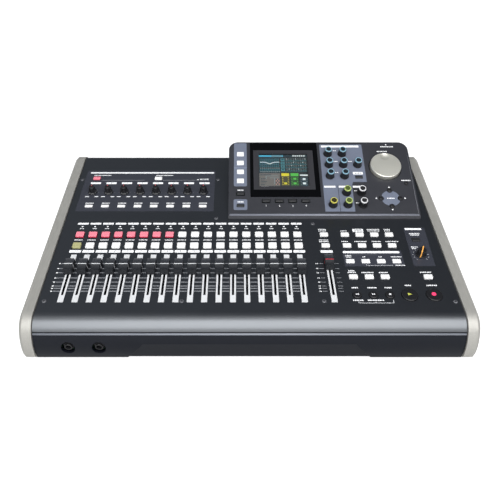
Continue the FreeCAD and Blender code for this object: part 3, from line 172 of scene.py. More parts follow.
M = {
    "panel": finish("panel_satin_black", srgb(12, 13, 19), 0.32, bump=0.03, spread=0.025,
                    specular=1.0, index=1.75, soft_edge=0.0006, tint=BLUISH),
    "fascia": finish("fascia_satin_black", srgb(14, 16, 24), 0.36, bump=0.06, specular=0.3,
                     soft_edge=0.0006, tint=BLUISH),
    "console": finish("console_charcoal", srgb(46, 47, 53), 0.45, bump=0.12,
                      soft_edge=0.0009),
    "tray": finish("tray_black_steel", srgb(34, 34, 37), 0.5, grain=900, bump=0.2),
    "cheek": finish("cheek_satin_silver", srgb(178, 176, 170), 0.46, metal=0.4, grain=700,
                    bump=0.14, vary=0.09, stretch=(1, 0.12, 1), soft_edge=0.0008),
    # Black plastic, which also colours the crosses of the panel screws as painted shade in their
    # recesses.
    "black": finish("black_plastic_and_painted_shade", srgb(26, 26, 29), 0.38, bump=0.10),
    "knob_foot": finish("knob_foot_gloss", srgb(38, 39, 44), 0.18, bump=0.04, specular=1.0,
                        coat=0.5),
    "knob_grip": finish("knob_grip_black", srgb(18, 18, 21), 0.16, bump=0.04, specular=0.9),
    # Lit and shaded copies of one cap colour: the rear half painted lighter, the front half
    # painted darker.
    "cap": finish("fader_cap_painted_lit_rear", srgb(54, 56, 61), bump=0.12, specular=0.3),
    "cap_front": finish("fader_cap_painted_shade_front", srgb(38, 40, 44), bump=0.12, specular=0.3),
    "rubber": finish("foot_rubber", srgb(30, 30, 31), 0.75, grain=1200, bump=0.3),
    # Unlit white keys still glow a little, though they are no lamp: painted light that brightens
    # them.
    "white_key": finish("key_white_rubber_painted_glow", srgb(238, 238, 238), vary=0.02, glow=0.14),
    "pink_key": finish("key_pink_lit", srgb(232, 130, 146), vary=0.03, glow=0.18),
    # Darker copies of the pink and white key colours for the sides of the record keys: painted
    # shade.
    "pink_edge": finish("key_pink_side_painted_shade", srgb(196, 52, 78), glow=0.1),
    "white_edge": finish("key_white_side_painted_shade", srgb(176, 177, 180)),
    "olive_key": finish("key_olive_lit", srgb(168, 166, 119), vary=0.03, glow=0.16),
    "dark_key": finish("key_dark_rubber", srgb(34, 35, 38), bump=0.08),
    # White print that glows a little, though it is no lamp: painted light on the print.
    "print_white_painted_glow": finish("print_white_painted_glow", srgb(240, 241, 243), grain=2500, vary=0.03,
                          glow=0.2),
    "strip": finish("fader_strip_grey", srgb(220, 221, 223), 0.45, bump=0.08),
    "gloss": finish("window_black_gloss", srgb(5, 5, 7), 0.10, bump=0.0, vary=0.02,
                    spread=0.03, specular=0.25),
    "bezel": finish("screen_bezel", srgb(54, 54, 58), 0.35, bump=0.06, specular=0.2),
    "glass": finish("screen_glass", srgb(250, 250, 250), 0.03, bump=0.0, vary=0.0,
                    spread=0.01, transmission=1.0),
    "jog": finish("jog_champagne", srgb(232, 230, 219), 0.36, metal=0.7, grain=1100,
                  bump=0.08, vary=0.04),
    "steel": finish("bright_steel", srgb(190, 190, 192), 0.22, metal=1.0, grain=1300,
                    bump=0.06),
    "dark_steel": finish("dark_screw_steel", srgb(62, 62, 66), 0.35, metal=0.8, bump=0.08),
    "screw": finish("screw_blackened", srgb(96, 97, 102), metal=0.2, bump=0.08),
    "board": finish("board_green", srgb(30, 66, 44), bump=0.1),
    # Light greys for the rounded beads on the console's lip and the front's seam: painted
    # highlights.
    "lip": finish("console_lip_painted_highlight", srgb(132, 135, 146), 0.4),
    "seam": finish("seam_painted_highlight", srgb(134, 138, 147), 0.4),
    "plate": finish("plate_dark", srgb(55, 57, 66), 0.42, bump=0.10),
    "blue_plate": finish("plate_blue_grey", srgb(110, 117, 134), 0.45, bump=0.10),
    "blue_light": finish("plate_blue_light", srgb(138, 147, 168), 0.45, bump=0.10),
    # The red line glows a little, though it is no lamp: painted light.
    "line_red_painted_glow": finish("line_red_painted_glow", srgb(188, 58, 72), 0.45, glow=0.05),
    "pointer_red": finish("pointer_red", srgb(196, 84, 92), 0.45),
    # The orange pointer glows a little, though it is no lamp: painted light.
    "pointer_orange_painted_glow": finish("pointer_orange_painted_glow", srgb(244, 176, 88), 0.45, glow=0.15),
    "play_green": finish("play_green", srgb(200, 204, 90), 0.45, glow=0.15),
    "record_red": finish("record_red", srgb(240, 62, 106), 0.45, glow=0.5),
}
# The dim grey colours a printed line and also the bead on the console's right edge, a painted
# highlight.
for name, colour in (("print_soft", (216, 218, 221)), ("print_grey", (150, 152, 157)),
                     ("print_dim", (98, 100, 106)), ("print_black", (18, 18, 20))):
    M[name] = finish(name, srgb(*colour), grain=2500)
for name, rim, hollow in (("blue", (142, 184, 203), (24, 31, 37)),
                          ("yellow", (212, 204, 92), (48, 43, 18)),
                          ("green", (190, 208, 122), (74, 88, 40)),
                          ("white", (236, 236, 238), (26, 26, 29))):
    M[f"ring_{name}"] = finish(f"ring_{name}", srgb(*rim), 0.4)
    M[f"dish_{name}"] = finish(f"dish_{name}", srgb(*hollow), 0.35)

# The screen's colours, each with its glow
SCREEN = {}
for name, colour, glow in (("back", (38, 44, 46), 0.5), ("blue", (60, 156, 186), 0.7),
                           ("teal", (60, 120, 128), 0.7), ("slate", (30, 52, 62), 0.5),
                           ("mist", (112, 126, 128), 0.6), ("rose", (176, 120, 110), 0.7),
                           ("white", (196, 206, 206), 0.7), ("grey", (98, 96, 93), 0.6),
                           ("yellow", (190, 182, 46), 0.7), ("olive", (66, 64, 46), 0.5),
                           ("green", (72, 164, 64), 0.7), ("leaf", (40, 70, 42), 0.5)):
    SCREEN[name] = finish(f"screen_{name}", srgb(*colour), 0.6, grain=3000, bump=0.0,
                          vary=0.03, glow=glow)


# Mesh building

class Shape:
    """One mesh that is built from stacks of outlines, each with its own finish."""

    def __init__(self):
        self.points = []
        self.faces = []
        self.kinds = []
        self.smooth = []
        self.finishes = []

    def kind(self, finish_used):
        """The place of a finish among those of this shape."""
        if finish_used not in self.finishes:
            self.finishes.append(finish_used)
        return self.finishes.index(finish_used)

    def face(self, indices, kind, smooth=False):
        self.faces.append(indices)
        self.kinds.append(kind)
        self.smooth.append(smooth)

    def loops(self, loops, finish_used, cap_low=False, cap_high=True, smooth=False):
        """Skins a stack of closed loops that have the same count of points."""
        kind = self.kind(finish_used)
        count = len(loops[0])
        first = len(self.points)
        for loop in loops:
            self.points.extend(loop)
        for level in range(len(loops) - 1):
            start = first + level * count
            for index in range(count):
                after = (index + 1) % count
                self.face((start + index, start + after, start + count + after,
                           start + count + index), kind, smooth)
        if cap_high:
            start = first + (len(loops) - 1) * count
            self.face(tuple(start + index for index in range(count)), kind)
        if cap_low:
            self.face(tuple(first + index for index in reversed(range(count))), kind)

    def prism(self, outline, bottom, top, finish_used):
        """An upright shape that is open below, where it stands in another surface."""
        self.loops([[(x, y, bottom) for x, y in outline], [(x, y, top) for x, y in outline]],
                   finish_used)

    def add(self, mesh, move, finish_used):
        """Adds the faces of another mesh."""
        kind = self.kind(finish_used)
        first = len(self.points)
        self.points.extend(tuple(move @ vertex.co) for vertex in mesh.vertices)
        for polygon in mesh.polygons:
            self.face(tuple(first + index for index in polygon.vertices), kind)

    def mesh(self, name):
        mesh = bpy.data.meshes.new(name)
        mesh.from_pydata([tuple(value * MM for value in point) for point in self.points], [],
                         self.faces)
        for used in self.finishes:
            mesh.materials.append(used)
        mesh.polygons.foreach_set("material_index", self.kinds)
        mesh.polygons.foreach_set("use_smooth", self.smooth)
        mesh.update()
        return mesh

    def build(self, name, surface, body, slot, *replaced):
        return seat(name, self.mesh(name), surface, body, slot, *replaced)


def seat(name, mesh, surface, body, slot, *replaced):
    """Places a mesh on a surface as a piece of a body, in place of the nodes it replaces."""
    piece = bpy.data.objects.new(name, mesh)
    bpy.context.scene.collection.objects.link(piece)
    piece.matrix_world = surface
    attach(piece, body)
    if replaced:
        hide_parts(*replaced)
    return piece


def rounded(x, y, width, length, radius, steps=4):
    """The outline of a rectangle with rounded corners round a centre."""
    radius = min(radius, width / 2 - 0.01, length / 2 - 0.01)
    outline = []
    for corner, (sx, sy) in enumerate(((1, 1), (-1, 1), (-1, -1), (1, -1))):
        for step in range(steps + 1):
            turn = math.pi / 2 * (corner + step / steps)
            outline.append((x + sx * (width / 2 - radius) + radius * math.cos(turn),
                            y + sy * (length / 2 - radius) + radius * math.sin(turn)))
    return outline


def circle(x, y, radius, steps):
    """The outline of a circle round a centre."""
    return [(x + radius * math.cos(2 * math.pi * k / steps),
             y + radius * math.sin(2 * math.pi * k / steps)) for k in range(steps)]


def box(x, y, width, length):
    """A rectangle with just broken corners round a centre."""
    return rounded(x, y, width, length, 0.05, 1)


KEY_DEPTH = 1.0
KEY_RISE = 1.5
KEY_EDGE = 0.8
KEY_EDGE_STEPS = 4


def key(shape, outline, finish_used, dome=0.2, side=None):
    """A key cap from its outline maker: upright sides, a rounded edge and a slight dome."""
    levels = [(0, -KEY_DEPTH), (0, KEY_RISE - KEY_EDGE)]
    for step in range(1, KEY_EDGE_STEPS + 1):
        turn = math.pi / 2 * step / KEY_EDGE_STEPS
        levels.append((KEY_EDGE * (1 - math.cos(turn)),
                       KEY_RISE - KEY_EDGE + KEY_EDGE * math.sin(turn)))
    levels.append((KEY_EDGE + 1.2, KEY_RISE + dome * 0.7))
    loops = [[(x, y, height) for x, y in outline(inset)] for inset, height in levels]
    shape.loops(loops[:3], side or finish_used, cap_high=False, smooth=True)
    shape.loops(loops[2:], finish_used, smooth=True)


GAP_ACROSS = 0.6
GAP_ALONG = 1.0
SHIFT_BACK = 0.25


def oblong(x, y, width, length, radius=1.2):
    """The outline maker of a rectangular cap in a window of the given size."""
    width -= GAP_ACROSS
    length -= GAP_ALONG
    y += SHIFT_BACK
    return lambda inset: rounded(x, y, width - 2 * inset, length - 2 * inset,
                                 max(radius - inset * 0.6, 0.15))


def disc(x, y, radius):
    """The outline maker of a round cap."""
    return lambda inset: circle(x, y, radius - inset, 36)


def lathe(shape, profile, finishes, x=0, y=0, steps=48, ribs=0, rib_depth=0.0, ribbed=(),
          closed=True):
    """Turns a profile of (radius, height) pairs; finishes gives one finish per band."""
    for band in range(len(profile) - 1):
        loops = []
        for radius, height in profile[band:band + 2]:
            loop = []
            for k in range(steps):
                turn = 2 * math.pi * k / steps
                reach = radius
                if band in ribbed:
                    reach -= rib_depth * (0.5 + 0.5 * math.cos(ribs * turn))
                loop.append((x + reach * math.cos(turn), y + reach * math.sin(turn), height))
            loops.append(loop)
        last = band == len(profile) - 2
        shape.loops(loops, finishes[band], cap_high=closed and last, smooth=True)


LEVEL = 0.06
ON_BAR = LEVEL + 0.04
FONT_SIZE = 1.38
DASH_PITCH = 2.0
DASH_SHARE = 0.72
DASH_CHANGE = 0.12


class Prints:
    """Printed marks on one surface, as thin raised shapes that share one mesh."""

    def __init__(self, base=0.0):
        self.shape = Shape()
        self.base = base

    def mark(self, outline, finish_used, lift=LEVEL):
        """Any outline; the other marks are made of it."""
        self.shape.prism(outline, self.base - 0.2, self.base + lift, finish_used)

    def bar(self, x, y, width, length, colour="print_white_painted_glow", radius=0.4, lift=LEVEL):
        self.mark(rounded(x, y, width, length, radius), M[colour], lift)

    def dot(self, x, y, radius, colour="print_white_painted_glow", lift=LEVEL):
        self.mark(circle(x, y, radius, 20), M[colour], lift)

    def legend(self, x, y, width, colour="print_white_painted_glow", height=1.5, lift=LEVEL):
        """A stand-in for a legend: a row of short dashes of uneven width."""
        parts = max(int(round(width / DASH_PITCH)), 1)
        pitch = width / parts
        for part in range(parts):
            share = DASH_SHARE + DASH_CHANGE * ((part * 7 + int(abs(x) * 3)) % 3 - 1)
            self.mark(box(x - width / 2 + pitch * (part + 0.5), y, pitch * share, height),
                      M[colour], lift)

    def legends(self, rows, height=1.5):
        """Legends from rows of place across, distance down from the rear, and width."""
        for x, down, width in rows:
            self.legend(x, -down, width, height=height)

    def dial(self, x, y, reach, angles, radius, colour):
        """Dots round a knob, at clockwise angles from the top."""
        for angle in angles:
            turn = math.radians(90 - angle)
            self.dot(x + reach * math.cos(turn), y + reach * math.sin(turn), radius, colour)

    def number(self, text, x, y, height, colour="print_black", lift=ON_BAR):
        """A number whose figures have the given height."""
        curve = bpy.data.curves.new("number", "FONT")
        curve.body = text
        curve.size = height * FONT_SIZE
        curve.align_x = "CENTER"
        curve.align_y = "CENTER"
        curve.resolution_u = 2
        letters = bpy.data.objects.new("number", curve)
        bpy.context.scene.collection.objects.link(letters)
        graph = bpy.context.evaluated_depsgraph_get()
        mesh = bpy.data.meshes.new_from_object(letters.evaluated_get(graph))
        self.shape.add(mesh, Matrix.Translation((x, y, self.base + lift)), M[colour])
        bpy.data.objects.remove(letters)
        bpy.data.curves.remove(curve)
        bpy.data.meshes.remove(mesh)

    def line(self, points, width=0.5, colour="print_grey"):
        for (x0, y0), (x1, y1) in zip(points, points[1:]):
            self.mark(box((x0 + x1) / 2, (y0 + y1) / 2, abs(x1 - x0) + width,
                          abs(y1 - y0) + width), M[colour])


# Case finishes

for name, used in (("top_panel", "panel"), ("front_panel", "fascia"), ("left_cheek", "cheek"),
                   ("right_cheek", "cheek"), ("chassis_tray", "tray"),
                   ("console_housing", "console"), ("lcd_module", "black"),
                   ("circuit_boards", "board"), ("potentiometers", "dark_steel"),
                   ("jack_sockets", "black"), ("line_sockets", "black"), ("feet", "rubber"),
                   ("power_button", "black")):
    nodes[name].data.materials.clear()
    nodes[name].data.materials.append(M[used])


# Printed marks on the panel: the inputs

PLATE_LIFT = 0.02
panel = Prints()
panel.bar(-139.5, -76.5, 187, 91, "plate", 1.0, PLATE_LIFT)
panel.bar(-138, -36.2, 180, 3.0)
for x in (-209.5, -119.5):
    panel.legend(x, -42.3, 25, height=1.6)
for left, right in ((-209.5, -148), (-120.5, -74)):
    panel.line([(left, -53.8), (right, -53.8)], 0.6)
panel.dot(-70.5, -52.6, 1.3)
panel.bar(-61.5, -51.8, 12.5, 3.2, "print_soft")
panel.legend(-61.5, -51.8, 8, "print_black", 1.2, ON_BAR)
for index, x in enumerate(INPUTS):
    panel.bar(x + 0.4, -60.6, 14.5, 4.0)
    panel.number(str(index + 1), x + 0.4, -60.6, 2.4)
    for side in (-1, 1):
        panel.bar(x + side * 6.6, -90.9, 5.2, 1.6, radius=0.2)
    panel.dial(x, TRIM_Y, 8.0, range(-135, 136, 45), 0.3, "print_grey")
    panel.legend(x, -105.0, 11.5, height=1.8)

# The channels and their faders

for index, x in enumerate(CHANNELS):
    panel.bar(x, -147, 14.0, 3.4, radius=0.9)
    panel.number(str(index + 1), x, -147, 2.1)
    panel.dot(x, -152.6, 1.15)
    panel.legend(x, -156.6, 5.4, height=1.4)
    panel.legend(x, -178.0, 11.0)
    panel.bar(x, -198.6, 14.6, 4.4, radius=0.8)
    panel.number(str(index + 1), x, -198.6, 2.4)
panel.bar(MASTER_X, -198.9, 15.2, 4.4, radius=0.8)
SLOT_FIRST = 217.4
SLOT_LAST = 270.0
STRIP_END = 280.9
for x, top in [(x, 204.2) for x in CHANNELS] + [(MASTER_X, 205.5)]:
    panel.mark(box(x, -(SLOT_LAST - 1.0), 2.7, 2.0), M["print_black"])
    for side in (-1, 1):
        panel.mark(box(x + side * 2.4, -(SLOT_FIRST + SLOT_LAST) / 2, 2.1,
                       SLOT_LAST - SLOT_FIRST), M["strip"])
    for first, last in ((top, SLOT_FIRST), (SLOT_LAST, STRIP_END)):
        panel.mark(box(x, -(first + last) / 2, 6.9, last - first), M["strip"])
for down in (219.6, 228.0, 235.0, 243.4, 250.0, 256.1, 259.8, 264.2):
    for x in CHANNELS[:-1]:
        panel.bar(x + CHANNEL_PITCH / 2, -down, 8.6, 1.0, "print_grey", 0.1)
    panel.bar(CHANNELS[0] - 7.8, -down, 8.4, 1.0, "print_grey", 0.1)
    panel.legend(CHANNELS[0] - 14.0, -down, 2.6, height=1.4)
    for side in (-1, 1):
        panel.bar(MASTER_X + side * 9.5, -down, 5.5, 0.6, "print_grey", 0.1)
    panel.legend(83.2, -down, 3.0, height=1.4)

# The keys at the right, the headphone level and the transport

panel.legends([(96.5, 158.2, 10.5), (96.5, 161.0, 10.5), (96.5, 178.0, 12.5),
               (96.5, 181.0, 12.5), (124, 161.0, 9), (163, 158.2, 17), (163, 161.0, 16),
               (181, 158.2, 9), (181, 161.0, 8), (123, 180.8, 9), (143, 180.8, 16),
               (163, 180.8, 12), (183, 180.8, 17), (124, 206.0, 8), (124, 208.6, 7),
               (143, 208.2, 4), (163, 208.2, 5), (183, 208.2, 14), (185, 222.6, 12),
               (209.5, 190.8, 9), (208.5, 193.4, 6)])
panel.legends([(124, 231.6, 8), (124, 234.4, 10), (143, 234.6, 15), (162, 234.6, 11),
               (213, 234.2, 14), (124, 258.8, 8), (144, 258.8, 11), (163, 258.8, 9),
               (187, 255.2, 8), (215, 255.2, 13)], 1.8)
panel.legends([(215.0, 166.0, 14), (215.0, 168.8, 12)], 1.7)
panel.legends([(125, 277.8, 12.5), (145.5, 277.8, 19)], 1.9)
panel.bar(143.0, -160.0, 14.0, 5.6, radius=0.8)
for y, width in ((-158.9, 10), (-161.1, 11)):
    panel.legend(143.0, y, width, "print_black", 1.2, ON_BAR)
panel.mark([(117.6, -224.4), (191, -224.4), (191, -197.2), (117.6, -197.2)], M["plate"],
           PLATE_LIFT)
panel.bar(153.4, -200, 70.5, 3.6)
panel.line([(128, -204.6), (160, -204.6)], 0.4, "print_dim")
panel.line([(144, -221.4), (144, -222.8), (176, -222.8)], 0.45, "print_soft")
panel.line([(163, -221.4), (163, -222.8)], 0.45, "print_soft")
panel.line([(125.5, -279.4), (125.5, -281.9), (165.5, -281.9), (165.5, -277.2)], 0.6,
           "print_soft")
panel.line([(145, -280.4), (145, -281.9)], 0.6, "print_soft")
panel.mark([(201.8, -223.8), (227.8, -223.8), (230.5, -155.4), (203, -155.4)], M["plate"],
           PLATE_LIFT)
panel.bar(215.4, -157.4, 21.5, 3.4)
panel.dial(*PHONES_KNOB, 9.4, range(-140, 141, 28), 0.5, "print_soft")
panel.shape.build("panel_prints", PANEL, "chassis", "panel_black")

# Printed marks on the console

CONSOLE_PLATE_LIFT = 0.04
console = Prints()
console.bar(-9.55, 87.2, 18.1, 77.6, "blue_plate", 2.0, CONSOLE_PLATE_LIFT)
console.bar(-9.55, 80.6, 18.1, 0.9, "blue_light", 0.1)
console.bar(-9.55, 18.0, 18.4, 17.4, "blue_plate", 2.0, CONSOLE_PLATE_LIFT)
for outline in ([(104, 50.2), (104, 121.8), (105.4, 123.2), (163.6, 123.2), (165, 121.8),
                 (165, 56.0), (146, 56.0), (144, 50.2)],
                [(104, 6.7), (104, 49.9), (124.0, 49.9), (124.0, 6.7)],
                [(124.7, 6.7), (124.7, 49.9), (144, 49.9), (144, 6.7)]):
    console.mark(outline[::-1], M["blue_plate"], CONSOLE_PLATE_LIFT)
console.bar(133.5, 119.7, 54, 3.4)
console.bar(154.2, 71.2, 14.0, 4.4, radius=1.2)
console.legend(154.2, 71.2, 9, "print_black", 1.4, ON_BAR)
for x, width in ((113.2, 15.5), (132.8, 14.5), (152.0, 14.5)):
    console.bar(x, 47.9, width, 3.0)
for x, y, width, height in ((-9.5, 42.0, 8.5, 1.7), (-9.5, 22.4, 8.5, 1.9),
                            (125, 111.8, 5, 1.3), (125, 92.2, 6, 1.3), (145.5, 92.2, 6, 1.3),
                            (125, 72.6, 5, 1.3), (148.6, 41.0, 5.5, 1.3),
                            (148.6, 20.8, 5.5, 1.3), (192.8, 110.4, 14.5, 1.5),
                            (201.0, 119.2, 19, 1.7), (219.4, 58.6, 13, 1.7)):
    console.legend(x, y, width, height=height)
console.mark([(198.8, 122.2), (201.2, 122.2), (200.0, 124.4)], M["print_white_painted_glow"])
for index in range(4):
    console.number(str(index + 1), 25.1 + 17.9 * index, 16.0, 2.8, "print_white_painted_glow", LEVEL)

# The cursor block: a round plate that leaves room for its four keys, with an arrow at each

cx, cy = CURSOR_PAD
PAD_RADIUS = 12.6
PAD_STEPS = 96
PAD_TRIALS = 40
PAD_CLEAR = 4.0
pad_outline = []
for k in range(PAD_STEPS):
    turn = 2 * math.pi * k / PAD_STEPS
    reach = PAD_RADIUS
    for dx, dy in FOUR_WAYS:
        for step in range(PAD_TRIALS):
            trial = PAD_RADIUS * (1 - step / (2 * PAD_TRIALS))
            away = math.hypot(trial * math.cos(turn) - CURSOR_KEY_REACH * dx,
                              trial * math.sin(turn) - CURSOR_KEY_REACH * dy)
            if away < PAD_CLEAR:
                reach = min(reach, trial - 0.15)
    pad_outline.append((cx + reach * math.cos(turn), cy + reach * math.sin(turn)))
console.mark(pad_outline, M["blue_plate"], 0.05)
console.legend(cx, cy, 10.5, height=1.6)
for dx, dy in FOUR_WAYS:
    tip = (cx + 21.0 * dx, cy + 20.0 * dy)
    base_x, base_y = cx + 18.6 * dx, cy + 17.6 * dy
    console.mark([(base_x + 1.4 * dy, base_y - 1.4 * dx),
                  (base_x - 1.4 * dy, base_y + 1.4 * dx), tip], M["print_white_painted_glow"])
console.shape.build("console_prints", CONSOLE, "chassis", "panel_black")

# Rounded beads along the console's front lip and right edge, and along the front's seam, coloured
# lighter than their surfaces: painted highlights


def bead(name, surface, slot, used, ends, centre, half, rise, sink=0.05, steps=8,
         upward=False):
    """A rounded bead between two ends, across a surface or up its slope."""
    loops = []
    for end in ends:
        loop = []
        for k in range(steps + 1):
            turn = math.pi * k / steps
            side = centre + half * math.cos(turn)
            height = rise * math.sin(turn) - sink
            loop.append((side, end, height) if upward else (end, side, height))
        loops.append(loop)
    shape = Shape()
    shape.loops(loops, M[used], cap_low=True, smooth=True)
    shape.build(name, surface, "chassis", slot)


bead("console_lip_highlight_bead", CONSOLE, "console_grey", "lip", (-24.0, 228.6), 1.6, 1.5, 0.55)
# The right edge's bead takes the dim grey: a painted highlight.
bead("console_edge_highlight_bead", CONSOLE, "console_grey", "print_dim", (104.0, 3.0), 228.1, 0.4,
     0.25, steps=6, upward=True)
# The seam's bead is light grey: a painted highlight.
bead("front_seam_highlight_bead", SEAM, "panel_black", "seam", (-241.6, 241.6), -2.5, 1.2, 0.4, 0.19)

# Display window, bezel, glass and what the screen shows


def frame_of(shape, outer, inner, bottom, top, used):
    """A flat frame between two rectangles of left, front, right and rear."""
    (x0, y0, x1, y1), (a0, b0, a1, b1) = outer, inner
    for left, front, right, rear in ((x0, y0, a0, y1), (a1, y0, x1, y1), (a0, y0, a1, b0),
                                     (a0, b1, a1, y1)):
        shape.prism(box((left + right) / 2, (front + rear) / 2, right - left, rear - front),
                    bottom, top, used)


window = Shape()
frame_of(window, (4.4, 30.4, 100, 126.3), (8.8, 43, 93.6, 112.6), -1.2, 0.02, M["gloss"])
frame_of(window, (8.8, 43, 93.6, 112.6), (16.5, 48.4, 85.6, 106.2), -1.2, 0.02, M["bezel"])
window.build("display_window_frame", CONSOLE, "chassis", "window_black", "display_window")
glass = Shape()
glass.loops([[(x, y, h) for x, y in box(51.05, 77.3, 69.1, 57.8)] for h in (-0.9, -0.1)],
            M["glass"], cap_low=True)
glass.build("display_glass", CONSOLE, "chassis", "window_black")

BLOCK = 0.05
LINE = 0.06
DETAIL = 0.07
PICTURE_CORNER = (16.9, 48.8)
PICTURE_SIZE = (68.3, 57.1)
screen = Prints(-2.4)


def area(x0, y0, x1, y1, colour, lift):
    """One block of the picture, in shares of the screen's width and height."""
    (left, bottom), (width, length) = PICTURE_CORNER, PICTURE_SIZE
    screen.mark(box(left + width * (x0 + x1) / 2, bottom + length * (y0 + y1) / 2,
                    width * (x1 - x0), length * (y1 - y0)), SCREEN[colour], lift)


area(0, 0, 1, 1, "back", 0.02)
for corners, colour in (((0.0, 0.935, 0.5, 0.985), "blue"), ((0.5, 0.935, 1.0, 0.985), "slate"),
                        ((0.0, 0.60, 0.42, 0.90), "slate"), ((0.0, 0.44, 0.42, 0.56), "slate"),
                        ((0.0, 0.03, 0.42, 0.42), "grey"), ((0.45, 0.33, 0.61, 0.42), "yellow"),
                        ((0.45, 0.03, 0.61, 0.32), "olive"), ((0.64, 0.33, 0.80, 0.42), "green"),
                        ((0.64, 0.03, 0.80, 0.32), "leaf"), ((0.83, 0.34, 0.99, 0.38), "white"),
                        ((0.83, 0.03, 0.99, 0.30), "slate")):
    area(*corners, colour, BLOCK)
for corners, colour in (((0.13, 0.33, 0.39, 0.345), "mist"), ((0.13, 0.24, 0.145, 0.345), "mist"),
                        ((0.21, 0.27, 0.40, 0.285), "mist"), ((0.30, 0.08, 0.315, 0.285), "mist"),
                        ((0.02, 0.36, 0.24, 0.38), "slate"), ((0.50, 0.08, 0.56, 0.14), "yellow"),
                        ((0.69, 0.22, 0.75, 0.28), "green"), ((0.69, 0.08, 0.75, 0.14), "green"),
                        ((0.88, 0.21, 0.94, 0.27), "white"), ((0.88, 0.08, 0.94, 0.14), "white"),
                        ((0.03, 0.0, 0.18, 0.022), "white")):
    area(*corners, colour, DETAIL)
area(0.26, 0.945, 0.48, 0.975, "mist", LINE)
for k in range(6):
    area(0.70 + 0.045 * k, 0.945, 0.73 + 0.045 * k, 0.985, "white", DETAIL)
for k in range(22):
    share = k / 21
    rise = 0.755 - 0.05 * math.exp(-((share - 0.5) / 0.16) ** 2)
    area(0.02 + 0.38 * share, rise, 0.043 + 0.38 * share, rise + 0.02, "white", DETAIL)
for k in range(10):
    x = 0.02 + 0.042 * k
    area(x, 0.61, x + 0.004, 0.89, "teal", LINE)
    area(x, 0.565, x + 0.025, 0.59, "mist", DETAIL)
    area(x, 0.51, x + 0.025, 0.535, "teal", DETAIL)
    area(x, 0.455, x + 0.03, 0.48, "mist", DETAIL)
for k in range(4):
    y = 0.81 - 0.105 * k
    area(0.45, y - 0.014, 0.99, y - 0.006, "teal", BLOCK)
    area(0.45, y, 0.53, y + 0.07, "teal", BLOCK)
    area(0.465, y + 0.02, 0.515, y + 0.05, "slate", DETAIL)
    for n in range(9):
        x = 0.56 + 0.048 * n
        area(x, y + 0.05, x + 0.025, y + 0.064, "mist" if (n + k) % 4 else "white", BLOCK)
        area(x, y + 0.012, x + 0.03, y + 0.024, "teal" if (n + k) % 3 else "mist", BLOCK)
    for n in range(3):
        x = 0.335 + 0.027 * n
        area(x, 0.07 + 0.05 * k, x + 0.016, 0.10 + 0.05 * k,
             "back" if (n + k) % 2 else "rose", DETAIL)
for k in range(5):
    y = 0.635 + 0.055 * k
    area(0.01, y, 0.41, y + 0.006, "teal", LINE)
    y = 0.07 + 0.045 * k
    area(0.03, y, 0.11 + 0.02 * (k % 3), y + 0.015, "slate", DETAIL)
    y = 0.07 + 0.05 * k
    area(0.465, y, 0.485, y + 0.02, "yellow", DETAIL)
    area(0.575 + 0.01 * (k % 2), y, 0.60, y + 0.015, "yellow", DETAIL)
    for x, colour in ((0.65, "green"), (0.765, "green"), (0.84, "mist"), (0.955, "mist")):
        area(x, y - 0.005, x + 0.022, y + 0.01, colour, DETAIL)
screen.shape.build("screen_picture", CONSOLE, "chassis", "module_grey")

# Key caps

arm = Shape()
select = Shape()
for index, x in enumerate(CHANNELS):
    tint = "pink" if index < 8 else "white"
    # The sides of the record keys take a darker copy of their colour: painted shade.
    key(arm, oblong(x, -168.3, 11.2, 10.4), M[f"{tint}_key"], side=M[f"{tint}_edge"])
    key(select, oblong(x, -188.3, 11.2, 10.4), M["white_key" if index else "olive_key"])
arm.build("rec_key_caps", PANEL, "rec_keys", "key_white", "rec_keys")
select.build("select_key_caps", PANEL, "select_keys", "key_white", "select_keys")

keys = Shape()
for down, places in ((168.3, (125, 144, 163, 182)), (188.3, (125, 144, 163, 182)),
                     (216.3, (125, 144, 163, 182)), (241.8, (125, 144, 163, 214.4)),
                     (168.3, (MASTER_X,)), (188.3, (MASTER_X,))):
    for x in places:
        key(keys, oblong(x, -down, 11.0, 7.4, 0.9), M["white_key"])
key(keys, oblong(214.4, -178.4, 11.0, 7.4, 0.9), M["dark_key"])
# Its sides take the darker pink copy: painted shade.
key(keys, oblong(-216.6, -50.2, 11.0, 7.6, 0.9), M["pink_key"], side=M["pink_edge"])
key(keys, oblong(-127.8, -50.2, 11.0, 7.6, 0.9), M["white_key"])
for x in INPUTS:
    key(keys, oblong(x, -112.0, 11.0, 5.4, 0.8), M["white_key"])
keys.build("panel_key_caps", PANEL, "panel_keys", "key_white", "panel_keys")

transport = Shape()
for x in (125, 144, 163):
    key(transport, disc(x, TRANSPORT_Y, 5.3), M["black"])
for x in (186.0, 214.4):
    key(transport, disc(x, TRANSPORT_Y, 9.4), M["black"], dome=0.1)


def symbol(outline, used):
    """A symbol on a transport key, just above its dome."""
    transport.prism(outline, KEY_RISE, KEY_RISE + 0.28, M[used])


def arrow(x, width, length, used):
    """A triangle that points to the right, or to the left with a negative width."""
    corners = [(x - width / 2, TRANSPORT_Y - length / 2), (x + width / 2, TRANSPORT_Y),
               (x - width / 2, TRANSPORT_Y + length / 2)]
    symbol(corners if width > 0 else corners[::-1], used)


for middle, width in ((125, -2.0), (144, 2.0)):
    for side in (-1, 1):
        arrow(middle + side, width, 2.2, "print_white_painted_glow")
symbol(box(163, TRANSPORT_Y, 2.3, 2.3), "print_white_painted_glow")
arrow(186.0, 4.6, 3.6, "play_green")
symbol(circle(213.7, TRANSPORT_Y + 0.2, 2.6, 32), "record_red")
transport.build("transport_key_caps", PANEL, "transport_keys", "button_black",
                "transport_keys")

